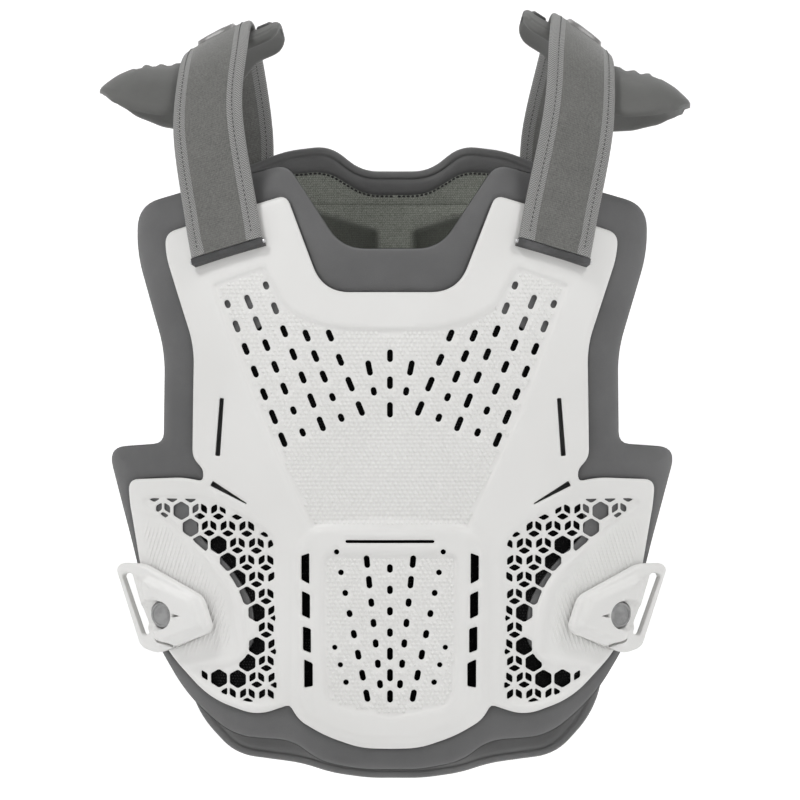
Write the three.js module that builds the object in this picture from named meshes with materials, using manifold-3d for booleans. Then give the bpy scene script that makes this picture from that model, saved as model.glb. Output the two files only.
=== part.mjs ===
// A roost deflector, the chest and back protector that an off-road rider wears: a pierced plastic
// shell on a foam front panel, a padded back panel, a strap with a cap over each shoulder, and a
// buckle on each hip.
//
// Millimetres. +X is to the right as seen from the front, +Y to the back, +Z up. The origin is
// midway between the shoulders, level with the underside of the shoulder caps at their crest.
// Left and right are as seen from the front.

import * as THREE from "three";
import { mergeVertices } from "three/addons/utils/BufferGeometryUtils.js";
import Module from "manifold-3d";

// Panels
const FRONT_HALF_WIDTH = 182;
const FRONT_HEIGHT = 380;
const FRONT_DROP = 74;
const FRONT_REACH = 118;
const FRONT_BOW = 150;
const FRONT_BOW_MARGIN = 39;
const FRONT_LEAN = 32.5;
const FRONT_KICK = 9.8;
const BACK_HALF_WIDTH = 158;
const BACK_HEIGHT = 437;
const BACK_DROP = 48;
const BACK_REACH = 94;
const BACK_BOW = 120;
const BACK_BOW_MARGIN = 63;
const BACK_LEAN = 28;
const BACK_KICK = 4;
const BEND_DOWN = 0.41;
const PANEL_CORNER = 10;
const SHELL_THICKNESS = 3;
const FOAM_THICKNESS = 14;
const CENTRE_RAISE = 4.5;
const LINER_RECESS = 2.2;
const LINER_THICKNESS = 1.5;
const LINING_THICKNESS = 1.5;
const SEAT_GAP = 0.3;

// Openings of the front shell
const SLOT_WIDTH = 3.4;
const SHORT_SLOT = 5.4;
const MEDIUM_SLOT = 7.9;
const LONG_SLOT = 9.6;
const TOP_SLIT_LENGTH = 55;
const TOP_SLIT_WIDTH = 2;
const SIDE_SLIT_WIDTH = 2.4;
const CELL_PITCH = 12.1;
const CELL_WIDTH = 9;
const OPEN_CELL_BAND = 12;

// Straps and shoulder caps
const SHOULDER_REACH = 116;
const ARCH_RISE = 78;
const STRAP_LIFT = 16;
const STRAP_WIDTH = 36;
const STRAP_THICKNESS = 8;
const STRAP_EDGE_THINNING = 0.35;
const STRAP_SEAT_RUN = 26;
const FOOT_ROLL = 16;
const BINDING_WIDTH = 6;
const BINDING_THICKNESS = 5;
const BAR_HEIGHT = 4;
const BAR_THICKNESS = 6;
const BADGE_LENGTH = 44;
const BADGE_WIDTH = 28;
const BADGE_THICKNESS = 1.6;
const CAP_THICKNESS = 6;
const CAP_SEAT_GAP = 0.8;
const CAP_REACH = 86;
const CAP_TAB = 40;
const CAP_HALF_LENGTH = 84;
const PATCH_WIDTH = 11;
const PATCH_LENGTH = 30;
const PATCH_THICKNESS = 1.2;

// Side buckles
const BUCKLE_HALF_WIDTH = 36;
const BUCKLE_HALF_HEIGHT = 32;
const BUCKLE_CORNER = 5;
const BUCKLE_PLATE = 5;
const BUCKLE_SEAT_GAP = 0.5;
const BUCKLE_CROWN = 4;
const CROWN_NARROWING = 0.86;
const BUCKLE_RAIL = 3.6;
const BUCKLE_SLOT_WIDTH = 8;
const BUCKLE_SLOT_LENGTH = 42;
const KEYHOLE_RADIUS = 9;
const KEYHOLE_DISH = 3;
const STUD_CLEARANCE = 1;
const STUD_SHANK_RADIUS = 5;
const RELEASE_SLIT_LENGTH = 14;
const RELEASE_SLIT_WIDTH = 2;

// How finely curved pieces are divided
const PANEL_COLUMNS = 14;
const PANEL_ROWS = 7;
const CORNER_STEPS = 2;
const STRAP_STEPS = 22;
const CAP_STEPS = 8;
const PAD_STEPS = 4;
const ROUND_SIDES = 14;
const EDGE_SPARE = 8;
const MERGE_DISTANCE = 1e-4;

// Outlines of the panels. across is a share of a panel's half width, down a share of its height
// from its top edge, and round a multiple of the panel's corner radius. Each runs down the right
// half, from the middle of the top to the middle of the bottom.
const FRONT_FOAM_OUTLINE = [
  { across: 0, down: 0.142, round: 0 },
  { across: 0.167, down: 0.142, round: 1.6 },
  { across: 0.359, down: -0.003, round: 0.9 },
  { across: 0.903, down: 0.061, round: 2 },
  { across: 0.901, down: 0.142, round: 1.4 },
  { across: 0.789, down: 0.311, round: 1.4 },
  { across: 0.792, down: 0.464, round: 0.7 },
  { across: 1.006, down: 0.472, round: 1.3 },
  { across: 0.892, down: 0.663, round: 2.5 },
  { across: 0.835, down: 0.787, round: 1.8 },
  { across: 0.705, down: 0.887, round: 1.8 },
  { across: 0.543, down: 0.949, round: 1.4 },
  { across: 0.336, down: 0.953, round: 1 },
  { across: 0.246, down: 0.987, round: 1 },
  { across: 0.1, down: 1, round: 1.4 },
  { across: 0, down: 1, round: 0 },
];
const FRONT_SHELL_OUTLINE = [
  { across: 0, down: 0.216, round: 0 },
  { across: 0.23, down: 0.216, round: 1.7 },
  { across: 0.361, down: 0.053, round: 0.6 },
  { across: 0.792, down: 0.113, round: 0.9 },
  { across: 0.785, down: 0.153, round: 1 },
  { across: 0.678, down: 0.303, round: 1.2 },
  { across: 0.683, down: 0.487, round: 0.6 },
  { across: 0.643, down: 0.507, round: 0.35 },
  { across: 0.646, down: 0.526, round: 0.3 },
  { across: 0.717, down: 0.52, round: 0.7 },
  { across: 0.92, down: 0.525, round: 0.9 },
  { across: 0.915, down: 0.563, round: 0.8 },
  { across: 0.869, down: 0.687, round: 1.5 },
  { across: 0.785, down: 0.805, round: 1.2 },
  { across: 0.626, down: 0.884, round: 1.4 },
  { across: 0.459, down: 0.911, round: 1.2 },
  { across: 0.344, down: 0.891, round: 0.25 },
  { across: 0.313, down: 0.916, round: 0.6 },
  { across: 0.224, down: 0.941, round: 1 },
  { across: 0.1, down: 0.961, round: 1.2 },
  { across: 0, down: 0.962, round: 0 },
];
const CENTRE_OUTLINE = [
  { across: 0, down: 0.58, round: 0 },
  { across: 0.256, down: 0.59, round: 1 },
  { across: 0.34, down: 0.626, round: 1.4 },
  { across: 0.34, down: 0.887, round: 0.25 },
  { across: 0.307, down: 0.912, round: 0.6 },
  { across: 0.219, down: 0.936, round: 1 },
  { across: 0.099, down: 0.956, round: 1.2 },
  { across: 0, down: 0.957, round: 0 },
];
const LINER_OUTLINE = [
  { across: 0, down: 0.297, round: 0 },
  { across: 0.202, down: 0.268, round: 1.2 },
  { across: 0.335, down: 0.247, round: 0.8 },
  { across: 0.42, down: 0.195, round: 0.6 },
  { across: 0.565, down: 0.221, round: 0.6 },
  { across: 0.537, down: 0.332, round: 1.2 },
  { across: 0.403, down: 0.495, round: 1.2 },
  { across: 0.369, down: 0.574, round: 0.6 },
  { across: 0.492, down: 0.576, round: 0.8 },
  { across: 0.66, down: 0.547, round: 0.6 },
  { across: 0.672, down: 0.613, round: 0.8 },
  { across: 0.549, down: 0.668, round: 1 },
  { across: 0.47, down: 0.726, round: 1 },
  { across: 0.47, down: 0.795, round: 0.6 },
  { across: 0.582, down: 0.834, round: 0.4 },
  { across: 0.699, down: 0.837, round: 0.3 },
  { across: 0.599, down: 0.88, round: 0.6 },
  { across: 0.482, down: 0.896, round: 0.8 },
  { across: 0.363, down: 0.882, round: 0.6 },
  { across: 0.319, down: 0.89, round: 0.6 },
  { across: 0, down: 0.897, round: 0 },
];
const BACK_FOAM_OUTLINE = [
  { across: 0, down: 0.041, round: 0 },
  { across: 0.145, down: 0.041, round: 1.1 },
  { across: 0.283, down: 0.002, round: 1.1 },
  { across: 0.474, down: 0.011, round: 1 },
  { across: 0.829, down: 0.064, round: 2 },
  { across: 0.836, down: 0.172, round: 1.8 },
  { across: 0.776, down: 0.309, round: 2.5 },
  { across: 0.987, down: 0.469, round: 2.5 },
  { across: 1, down: 0.664, round: 3 },
  { across: 0.862, down: 0.889, round: 1.8 },
  { across: 0.697, down: 0.958, round: 1.4 },
  { across: 0.408, down: 0.975, round: 1 },
  { across: 0.283, down: 0.991, round: 1 },
  { across: 0.118, down: 1, round: 1.2 },
  { across: 0, down: 1, round: 0 },
];
const BACK_SHELL_OUTLINE = [
  { across: 0, down: 0.114, round: 0 },
  { across: 0.197, down: 0.114, round: 1.2 },
  { across: 0.316, down: 0.069, round: 1 },
  { across: 0.553, down: 0.069, round: 1 },
  { across: 0.77, down: 0.11, round: 1.2 },
  { across: 0.711, down: 0.309, round: 2.5 },
  { across: 0.842, down: 0.476, round: 2.5 },
  { across: 0.855, down: 0.652, round: 2.5 },
  { across: 0.711, down: 0.865, round: 1.8 },
  { across: 0.395, down: 0.92, round: 1.6 },
  { across: 0, down: 0.934, round: 0 },
];
const BACK_LINING_OUTLINE = [
  { across: 0, down: 0.079, round: 0 },
  { across: 0.132, down: 0.079, round: 1.1 },
  { across: 0.296, down: 0.043, round: 0.9 },
  { across: 0.513, down: 0.05, round: 0.9 },
  { across: 0.724, down: 0.092, round: 1.4 },
  { across: 0.684, down: 0.309, round: 2.5 },
  { across: 0.882, down: 0.485, round: 2.2 },
  { across: 0.888, down: 0.652, round: 2.5 },
  { across: 0.763, down: 0.858, round: 1.6 },
  { across: 0.395, down: 0.938, round: 1.4 },
  { across: 0, down: 0.961, round: 0 },
];

// Openings of the front shell, as shares of the front panel like the outlines above.
const CHEST_COLUMNS = [
  {
    from: { across: 0, down: 0.32 },
    to: { across: 0, down: 0.408 },
    lengths: [MEDIUM_SLOT, MEDIUM_SLOT, LONG_SLOT],
  },
  {
    from: { across: 0.071, down: 0.34 },
    to: { across: 0.055, down: 0.378 },
    lengths: [LONG_SLOT, SHORT_SLOT],
  },
  {
    from: { across: 0.205, down: 0.287 },
    to: { across: 0.101, down: 0.406 },
    lengths: [MEDIUM_SLOT, MEDIUM_SLOT, LONG_SLOT, LONG_SLOT],
  },
  {
    from: { across: 0.285, down: 0.287 },
    to: { across: 0.166, down: 0.421 },
    lengths: [MEDIUM_SLOT, MEDIUM_SLOT, MEDIUM_SLOT, SHORT_SLOT, SHORT_SLOT],
  },
  {
    from: { across: 0.427, down: 0.204 },
    to: { across: 0.234, down: 0.431 },
    lengths: [
      SHORT_SLOT,
      MEDIUM_SLOT,
      MEDIUM_SLOT,
      MEDIUM_SLOT,
      MEDIUM_SLOT,
      LONG_SLOT,
      LONG_SLOT,
    ],
  },
  {
    from: { across: 0.487, down: 0.231 },
    to: { across: 0.298, down: 0.445 },
    lengths: [
      LONG_SLOT,
      LONG_SLOT,
      MEDIUM_SLOT,
      MEDIUM_SLOT,
      MEDIUM_SLOT,
      SHORT_SLOT,
      SHORT_SLOT,
    ],
  },
  {
    from: { across: 0.561, down: 0.234 },
    to: { across: 0.366, down: 0.457 },
    lengths: [
      SHORT_SLOT,
      MEDIUM_SLOT,
      MEDIUM_SLOT,
      MEDIUM_SLOT,
      MEDIUM_SLOT,
      LONG_SLOT,
      LONG_SLOT,
    ],
  },
];
const BELLY_COLUMNS = [
  {
    from: { across: 0, down: 0.666 },
    to: { across: 0, down: 0.875 },
    lengths: [
      SHORT_SLOT,
      SHORT_SLOT,
      SHORT_SLOT,
      SHORT_SLOT,
      MEDIUM_SLOT,
      MEDIUM_SLOT,
      MEDIUM_SLOT,
    ],
  },
  {
    from: { across: 0.078, down: 0.655 },
    to: { across: 0.034, down: 0.855 },
    lengths: [
      MEDIUM_SLOT,
      MEDIUM_SLOT,
      SHORT_SLOT,
      SHORT_SLOT,
      SHORT_SLOT,
      SHORT_SLOT,
      SHORT_SLOT,
    ],
  },
];
const VENTS = [
  { outer: 0.302, outerTop: 0.646, outerFoot: 0.685, inner: 0.274, top: 0.641, foot: 0.692 },
  { outer: 0.3, outerTop: 0.703, outerFoot: 0.743, inner: 0.272, top: 0.709, foot: 0.749 },
  { outer: 0.297, outerTop: 0.761, outerFoot: 0.8, inner: 0.269, top: 0.765, foot: 0.805 },
  { outer: 0.293, outerTop: 0.815, outerFoot: 0.862, inner: 0.263, top: 0.821, foot: 0.859 },
];
const SIDE_SLITS = [
  { from: { across: 0.578, down: 0.389 }, to: { across: 0.593, down: 0.484 } },
  { from: { across: 0.615, down: 0.529 }, to: { across: 0.491, down: 0.562 } },
];
const TOP_SLIT_DOWN = 0.622;
const HONEYCOMB_RIM = [
  { across: 0.864, down: 0.562, round: 0.15 },
  { across: 0.835, down: 0.554, round: 0.2 },
  { across: 0.638, down: 0.554, round: 0.6 },
  { across: 0.492, down: 0.586, round: 0.8 },
  { across: 0.392, down: 0.618, round: 0.9 },
  { across: 0.386, down: 0.884, round: 0.6 },
  { across: 0.47, down: 0.893, round: 0.8 },
  { across: 0.593, down: 0.876, round: 0.6 },
  { across: 0.689, down: 0.837, round: 0.2 },
];
const HONEYCOMB_PAD_EDGE = [
  { across: 0.543, down: 0.832, round: 0.5 },
  { across: 0.484, down: 0.808, round: 0.7 },
  { across: 0.501, down: 0.726, round: 1 },
  { across: 0.559, down: 0.674, round: 1 },
  { across: 0.736, down: 0.605, round: 0.8 },
];
const CELL_ANCHOR = { across: 0.558, down: 0.603 };

// The strap's arch, from the front over the shoulder to the back. turn is in degrees from the
// crest, across a share of the shoulder's distance out, tilt how steeply the strap's width rises
// inwards and lead how far it swings forwards, both in degrees.
const ARCH_STATIONS = [
  { turn: -75, across: 1.008, tilt: 19, lead: -16 },
  { turn: -40, across: 1.005, tilt: 23, lead: -8 },
  { turn: 0, across: 1, tilt: 29.5, lead: 0 },
  { turn: 40, across: 0.975, tilt: 22, lead: 6 },
  { turn: 75, across: 0.93, tilt: 17, lead: 10 },
];

// The cap's outline. reach is a share of the cap's reach outwards, or of its tab inwards where it
// is negative, and sink how far it bends down there, as a share of that same length. length is a
// share of the cap's half length, and thick of its thickness.
const CAP_STATIONS = [
  { reach: -1, length: 0.3, thick: 0.8, sink: 0.05 },
  { reach: -0.94, length: 0.4, thick: 1, sink: 0.04 },
  { reach: -0.8, length: 0.45, thick: 1, sink: 0.03 },
  { reach: -0.45, length: 0.47, thick: 1, sink: 0 },
  { reach: 0, length: 0.72, thick: 1, sink: 0 },
  { reach: 0.28, length: 1.02, thick: 1, sink: 0 },
  { reach: 0.42, length: 1.02, thick: 1, sink: -0.07 },
  { reach: 0.62, length: 0.95, thick: 1, sink: -0.165 },
  { reach: 0.82, length: 0.78, thick: 0.9, sink: -0.18 },
  { reach: 0.94, length: 0.56, thick: 0.75, sink: -0.16 },
  { reach: 1, length: 0.3, thick: 0.5, sink: -0.13 },
];

// The buckle's outline as shares of its half width and half height, seen square on. out is away
// from the body's middle, and the first two rows are the ends of its outer edge.
const BUCKLE_OUTLINE = [
  { out: 1, up: 0.87 },
  { out: 0.53, up: -0.62 },
  { out: 0.42, up: -0.7 },
  { out: 0.14, up: -0.78 },
  { out: -0.92, up: -0.33 },
  { out: -0.98, up: -0.19 },
  { out: -0.8, up: 0.38 },
  { out: 0.4, up: 0.98 },
  { out: 0.89, up: 0.99 },
];
const BUCKLE_CROWN_OUTLINE = [
  { out: 0.42, up: 0.52 },
  { out: 0.1, up: -0.56 },
  { out: -0.8, up: -0.22 },
  { out: -0.66, up: 0.28 },
  { out: 0.34, up: 0.66 },
];
const RELEASE_SLIT_PLACE = { out: -0.04, up: -0.56, turn: 20 };

// Where pieces sit on the panels
const BUCKLE_PLACE = { across: 0.776, down: 0.747 };
const FRONT_STRAP_PLACE = { across: 0.556, down: 0.145 };
const BACK_STRAP_PLACE = { across: 0.63, down: 0.16 };

// The straps are soft and don't lie quite alike: how far each crest is moved out, as a share of the
// strap's width, how far its arch rises, as a share of the arch's own rise, and how many degrees
// its crest is tilted beyond the arch's own tilt.
const SIDES = [
  { name: "left", sign: -1, sway: -0.05, rise: 1.05, tilt: -1.5 },
  { name: "right", sign: 1, sway: 0.2, rise: 1.075, tilt: 8 },
];

const wasm = await Module();
wasm.setup();

const protector = new THREE.Group();

const shellWhite = new THREE.MeshStandardMaterial({ color: 0xe9e8e6, roughness: 0.42, metalness: 0 });
const foamGrey = new THREE.MeshStandardMaterial({ color: 0x626262, roughness: 0.85, metalness: 0 });
const meshBlack = new THREE.MeshStandardMaterial({ color: 0x0b0b0b, roughness: 0.9, metalness: 0 });
const liningGrey = new THREE.MeshStandardMaterial({ color: 0x7c7f78, roughness: 0.9, metalness: 0 });
const strapGrey = new THREE.MeshStandardMaterial({ color: 0x5f605f, roughness: 0.9, metalness: 0 });
const bindingGrey = new THREE.MeshStandardMaterial({ color: 0x808080, roughness: 0.8, metalness: 0 });
const rubberGrey = new THREE.MeshStandardMaterial({ color: 0x4a4a4a, roughness: 0.55, metalness: 0 });
const studGrey = new THREE.MeshStandardMaterial({ color: 0x9a9a98, roughness: 0.35, metalness: 0.2 });

function radians(degrees) {
  return THREE.MathUtils.degToRad(degrees);
}

// A closed geometry as a solid that can be joined and cut.
function solid(geometry) {
  geometry.deleteAttribute("normal");
  geometry.deleteAttribute("uv");
  const merged = mergeVertices(geometry, MERGE_DISTANCE);
  return new wasm.Manifold(
    new wasm.Mesh({
      numProp: 3,
      vertProperties: merged.getAttribute("position").array,
      triVerts: new Uint32Array(merged.index.array),
    }),
  );
}

function geometryOf(made) {
  const { vertProperties, triVerts } = made.getMesh();
  const geometry = new THREE.BufferGeometry();
  geometry.setAttribute("position", new THREE.BufferAttribute(vertProperties, 3));
  geometry.setIndex(new THREE.BufferAttribute(triVerts, 1));
  geometry.computeVertexNormals();
  return geometry;
}

function add(name, geometry, material, parent = protector) {
  const mesh = new THREE.Mesh(geometry, material);
  mesh.name = name;
  parent.add(mesh);
  return mesh;
}

// Moves each vertex of a geometry to where the function puts it.
function bend(geometry, place) {
  const positions = geometry.getAttribute("position");
  const vertex = new THREE.Vector3();
  for (let i = 0; i < positions.count; i += 1) {
    vertex.fromBufferAttribute(positions, i);
    const moved = place(vertex);
    positions.setXYZ(i, moved.x, moved.y, moved.z);
  }
  geometry.computeVertexNormals();
  return geometry;
}

// A panel's curved face: bowed round the body as an ellipse, leaning back above the bend and
// kicked back below it. towards is 1 where the bow runs to +Y and -1 where it runs to -Y.
function panelFace(panel, x, z) {
  const semiAxis = panel.halfWidth + panel.bowMargin;
  const bow = panel.bow * (1 - Math.sqrt(1 - (x / semiAxis) ** 2));
  const bendDrop = panel.height * BEND_DOWN;
  const above = (z - (panel.top - bendDrop)) / bendDrop;
  const below = -above * (BEND_DOWN / (1 - BEND_DOWN));
  const slope = above > 0 ? panel.lean * above ** 2 : panel.kick * below ** 2;
  return panel.faceY + panel.towards * (bow + slope);
}

const front = {
  halfWidth: FRONT_HALF_WIDTH,
  height: FRONT_HEIGHT,
  top: -FRONT_DROP,
  faceY: -FRONT_REACH,
  bow: FRONT_BOW,
  bowMargin: FRONT_BOW_MARGIN,
  lean: FRONT_LEAN,
  kick: FRONT_KICK,
  towards: 1,
  shellFace: -(SEAT_GAP + SHELL_THICKNESS),
};
const back = {
  halfWidth: BACK_HALF_WIDTH,
  height: BACK_HEIGHT,
  top: -BACK_DROP,
  faceY: BACK_REACH,
  bow: BACK_BOW,
  bowMargin: BACK_BOW_MARGIN,
  lean: BACK_LEAN,
  kick: BACK_KICK,
  towards: -1,
  shellFace: FOAM_THICKNESS + SEAT_GAP + SHELL_THICKNESS,
};

function spot(panel, row) {
  return { x: row.across * panel.halfWidth, z: panel.top - row.down * panel.height };
}

// The panel's shell as a place to seat pieces: the point on its face, the way out of it, and the
// ways inwards and up along it.
function seatOn(panel, row) {
  const { x, z } = spot(panel, row);
  const step = 0.5;
  const slopeX = (panelFace(panel, x + step, z) - panelFace(panel, x - step, z)) / (2 * step);
  const slopeZ = (panelFace(panel, x, z + step) - panelFace(panel, x, z - step)) / (2 * step);
  const outwards = new THREE.Vector3(slopeX, -1, slopeZ).multiplyScalar(panel.towards).normalize();
  const inwards = new THREE.Vector3(-1, -slopeX, 0).normalize();
  const upwards = new THREE.Vector3().crossVectors(inwards, outwards).multiplyScalar(panel.towards);
  const point = new THREE.Vector3(x, panelFace(panel, x, z) + panel.shellFace, z);
  return { point, outwards, inwards, upwards };
}

// A closed outline with each corner rounded by its own radius, which is limited by the sides that
// meet there.
function roundedOutline(corners, Outline = THREE.Shape) {
  const outline = new Outline();
  const count = corners.length;
  corners.forEach((corner, i) => {
    const at = new THREE.Vector2(corner.x, corner.y);
    const before = new THREE.Vector2().copy(corners[(i + count - 1) % count]).sub(at);
    const after = new THREE.Vector2().copy(corners[(i + 1) % count]).sub(at);
    const setback = Math.min(corner.round, before.length() * 0.48, after.length() * 0.48);
    const start = before.setLength(setback).add(at);
    const end = after.setLength(setback).add(at);
    if (i === 0) outline.moveTo(start.x, start.y);
    else outline.lineTo(start.x, start.y);
    if (setback > 0) outline.quadraticCurveTo(at.x, at.y, end.x, end.y);
  });
  outline.closePath();
  return outline;
}

function corner(panel, row, sign = 1) {
  const { x, z } = spot(panel, row);
  return { x: sign * x, y: z, round: row.round * PANEL_CORNER };
}

// A half outline and its mirror image as one list of corners.
function mirroredCorners(panel, rows) {
  const half = rows.map((row) => corner(panel, row));
  const other = rows
    .filter((row) => row.across > 0)
    .map((row) => corner(panel, row, -1))
    .reverse();
  return [...half, ...other];
}

// The corners moved inwards by a distance, for a piece that lies in a recess.
function inset(corners, distance) {
  const count = corners.length;
  return corners.map((here, i) => {
    const before = corners[(i + count - 1) % count];
    const after = corners[(i + 1) % count];
    const into = new THREE.Vector2(here.x - before.x, here.y - before.y).normalize();
    const outOf = new THREE.Vector2(after.x - here.x, after.y - here.y).normalize();
    const side = new THREE.Vector2(into.y + outOf.y, -into.x - outOf.x).normalize();
    const reach = distance / Math.max(0.3, Math.abs(side.x * into.y - side.y * into.x));
    return { ...here, x: here.x + side.x * reach, y: here.y + side.y * reach };
  });
}

// A straight prism through the whole depth of the object, its outline seen from the front.
function prism(shapes) {
  const forward = FRONT_REACH + FRONT_BOW;
  const depth = forward + BACK_REACH + BACK_BOW;
  const geometry = new THREE.ExtrudeGeometry(shapes, {
    depth,
    bevelEnabled: false,
    curveSegments: CORNER_STEPS,
  });
  geometry.rotateX(Math.PI / 2);
  geometry.translate(0, depth - forward, 0);
  return solid(geometry);
}

// A slab that follows a panel's face between two distances in Y from it.
function panelSlab(panel, near, far) {
  const width = 2 * (panel.halfWidth + EDGE_SPARE);
  const height = panel.height + 2 * EDGE_SPARE;
  const slab = new THREE.BoxGeometry(width, 1, height, PANEL_COLUMNS, 1, PANEL_ROWS);
  slab.translate(0, 0, panel.top - panel.height / 2);
  return solid(
    bend(slab, (v) => v.setY(panelFace(panel, v.x, v.z) + (v.y < 0 ? near : far))),
  );
}

function panelPiece(panel, rows, near, far) {
  const outline = roundedOutline(mirroredCorners(panel, rows));
  return panelSlab(panel, near, far).intersect(prism([outline]));
}

// An elongated hexagon round a point, its long axis turned from upright by an angle.
function slotShape(place, angle, width, length) {
  const shoulder = length / 2 - width * 0.29;
  const ring = [
    [0, length / 2],
    [-width / 2, shoulder],
    [-width / 2, -shoulder],
    [0, -length / 2],
    [width / 2, -shoulder],
    [width / 2, shoulder],
  ];
  const turned = ring.map(([a, b]) =>
    new THREE.Vector2(a, b).rotateAround(new THREE.Vector2(), angle).add(place),
  );
  return new THREE.Shape(turned);
}

// The slots of one column, on one side of the middle or on it.
function columnShapes(column, sign) {
  const from = spot(front, column.from);
  const to = spot(front, column.to);
  const angle = Math.atan2(sign * (to.x - from.x), from.z - to.z);
  const last = column.lengths.length - 1;
  return column.lengths.map((length, i) => {
    const share = i / last;
    const x = sign * THREE.MathUtils.lerp(from.x, to.x, share);
    const z = THREE.MathUtils.lerp(from.z, to.z, share);
    return slotShape(new THREE.Vector2(x, z), angle, SLOT_WIDTH, length);
  });
}

function slitShape(slit, sign) {
  const from = spot(front, slit.from);
  const to = spot(front, slit.to);
  const middle = new THREE.Vector2((sign * (from.x + to.x)) / 2, (from.z + to.z) / 2);
  const angle = Math.atan2(sign * (to.x - from.x), from.z - to.z);
  const length = Math.hypot(to.x - from.x, to.z - from.z);
  return slotShape(middle, angle, SIDE_SLIT_WIDTH, length);
}

function ventShape(vent, sign) {
  const point = (across, down) => {
    const { x, z } = spot(front, { across, down });
    return new THREE.Vector2(sign * x, z);
  };
  return new THREE.Shape([
    point(vent.outer, vent.outerTop),
    point(vent.outer, vent.outerFoot),
    point(vent.inner, vent.foot),
    point(vent.inner, vent.top),
  ]);
}

function isInside(point, ring) {
  let inside = false;
  ring.forEach((a, i) => {
    const b = ring[(i + ring.length - 1) % ring.length];
    const crosses = a.y > point.y !== b.y > point.y;
    if (crosses && point.x < a.x + ((b.x - a.x) * (point.y - a.y)) / (b.y - a.y)) inside = !inside;
  });
  return inside;
}

function distanceToLine(point, line) {
  const nearest = new THREE.Vector3();
  const at = new THREE.Vector3(point.x, point.y, 0);
  const distances = line.slice(1).map((end, i) => {
    const start = new THREE.Vector3(line[i].x, line[i].y, 0);
    const segment = new THREE.Line3(start, new THREE.Vector3(end.x, end.y, 0));
    return segment.closestPointToPoint(at, true, nearest).distanceTo(at);
  });
  return Math.min(...distances);
}

// The open cells of the honeycomb, which run along the pad that the buckle sits on. The cells
// stand on their points, in rows that are half a pitch apart.
function openCellShapes(sign) {
  const padEdge = HONEYCOMB_PAD_EDGE.map((row) => corner(front, row));
  const ring = [...HONEYCOMB_RIM.map((row) => corner(front, row)), ...padEdge];
  const anchor = spot(front, CELL_ANCHOR);
  const rowStep = (CELL_PITCH * Math.sqrt(3)) / 2;
  const reach = Math.ceil(front.halfWidth / CELL_PITCH);
  const shapes = [];
  for (let row = -reach; row <= reach; row += 1) {
    for (let column = -reach; column <= reach; column += 1) {
      const x = anchor.x + (column + (row % 2 === 0 ? 0 : 0.5)) * CELL_PITCH;
      const place = new THREE.Vector2(x, anchor.z + row * rowStep);
      const clear = distanceToLine(place, [...ring, ring[0]]) > CELL_WIDTH / 2;
      const near = distanceToLine(place, padEdge) < OPEN_CELL_BAND;
      if (isInside(place, ring) && clear && near) {
        place.x *= sign;
        shapes.push(slotShape(place, 0, CELL_WIDTH, (CELL_WIDTH * 2) / Math.sqrt(3)));
      }
    }
  }
  return shapes;
}

function topSlitShape() {
  const { z } = spot(front, { across: 0, down: TOP_SLIT_DOWN });
  return slotShape(new THREE.Vector2(0, z), Math.PI / 2, TOP_SLIT_WIDTH, TOP_SLIT_LENGTH);
}

function shellOpenings() {
  const columns = [...CHEST_COLUMNS, ...BELLY_COLUMNS];
  const shapes = [topSlitShape()];
  for (const { sign } of SIDES) {
    columns
      .filter((column) => column.from.across > 0)
      .forEach((column) => shapes.push(...columnShapes(column, sign)));
    VENTS.forEach((vent) => shapes.push(ventShape(vent, sign)));
    SIDE_SLITS.forEach((slit) => shapes.push(slitShape(slit, sign)));
    shapes.push(...openCellShapes(sign));
  }
  columns
    .filter((column) => column.from.across === 0)
    .forEach((column) => shapes.push(...columnShapes(column, 1)));
  return shapes;
}

// The front panel: the pierced shell with its raised centre, the foam behind it, and the dark mesh
// liner that lies in a recess of the foam and shows through the openings.
function addFrontPanel() {
  const outer = front.shellFace;
  const sheet = panelPiece(front, FRONT_SHELL_OUTLINE, outer, -SEAT_GAP);
  const centre = panelPiece(front, CENTRE_OUTLINE, outer - CENTRE_RAISE, outer + SHELL_THICKNESS / 2);
  const shell = sheet.add(centre).subtract(prism(shellOpenings()));
  add("front_shell", geometryOf(shell), shellWhite);

  const linerCorners = mirroredCorners(front, LINER_OUTLINE);
  const recess = panelSlab(front, -1, LINER_RECESS).intersect(prism([roundedOutline(linerCorners)]));
  const foam = panelPiece(front, FRONT_FOAM_OUTLINE, 0, FOAM_THICKNESS).subtract(recess);
  add("front_foam", geometryOf(foam), foamGrey);

  const linerFar = LINER_RECESS - SEAT_GAP;
  const linerShape = roundedOutline(inset(linerCorners, 2 * SEAT_GAP));
  const liner = panelSlab(front, linerFar - LINER_THICKNESS, linerFar).intersect(prism([linerShape]));
  add("front_liner", geometryOf(liner), meshBlack);
}

// The back panel: the lining against the wearer, the foam, and the plain shell outside.
function addBackPanel() {
  const lining = panelPiece(back, BACK_LINING_OUTLINE, -SEAT_GAP - LINING_THICKNESS, -SEAT_GAP);
  add("back_lining", geometryOf(lining), liningGrey);
  add("back_foam", geometryOf(panelPiece(back, BACK_FOAM_OUTLINE, 0, FOAM_THICKNESS)), foamGrey);
  const shellNear = FOAM_THICKNESS + SEAT_GAP;
  const shell = panelPiece(back, BACK_SHELL_OUTLINE, shellNear, back.shellFace);
  add("back_shell", geometryOf(shell), shellWhite);
}

// The end of a strap on a panel's shell: its middle, the way that its width runs inwards, and the
// way that it leaves upwards.
function strapFoot(panel, place) {
  const { point, outwards, inwards, upwards } = seatOn(panel, place);
  const roll = radians(FOOT_ROLL);
  const width = inwards.clone().multiplyScalar(Math.cos(roll)).addScaledVector(upwards, Math.sin(roll));
  const leaving = upwards.clone().multiplyScalar(Math.cos(roll)).addScaledVector(inwards, -Math.sin(roll));
  const lift = SEAT_GAP + STRAP_THICKNESS / 2;
  return { middle: point.addScaledVector(outwards, lift), width, leaving, outwards };
}

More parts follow.
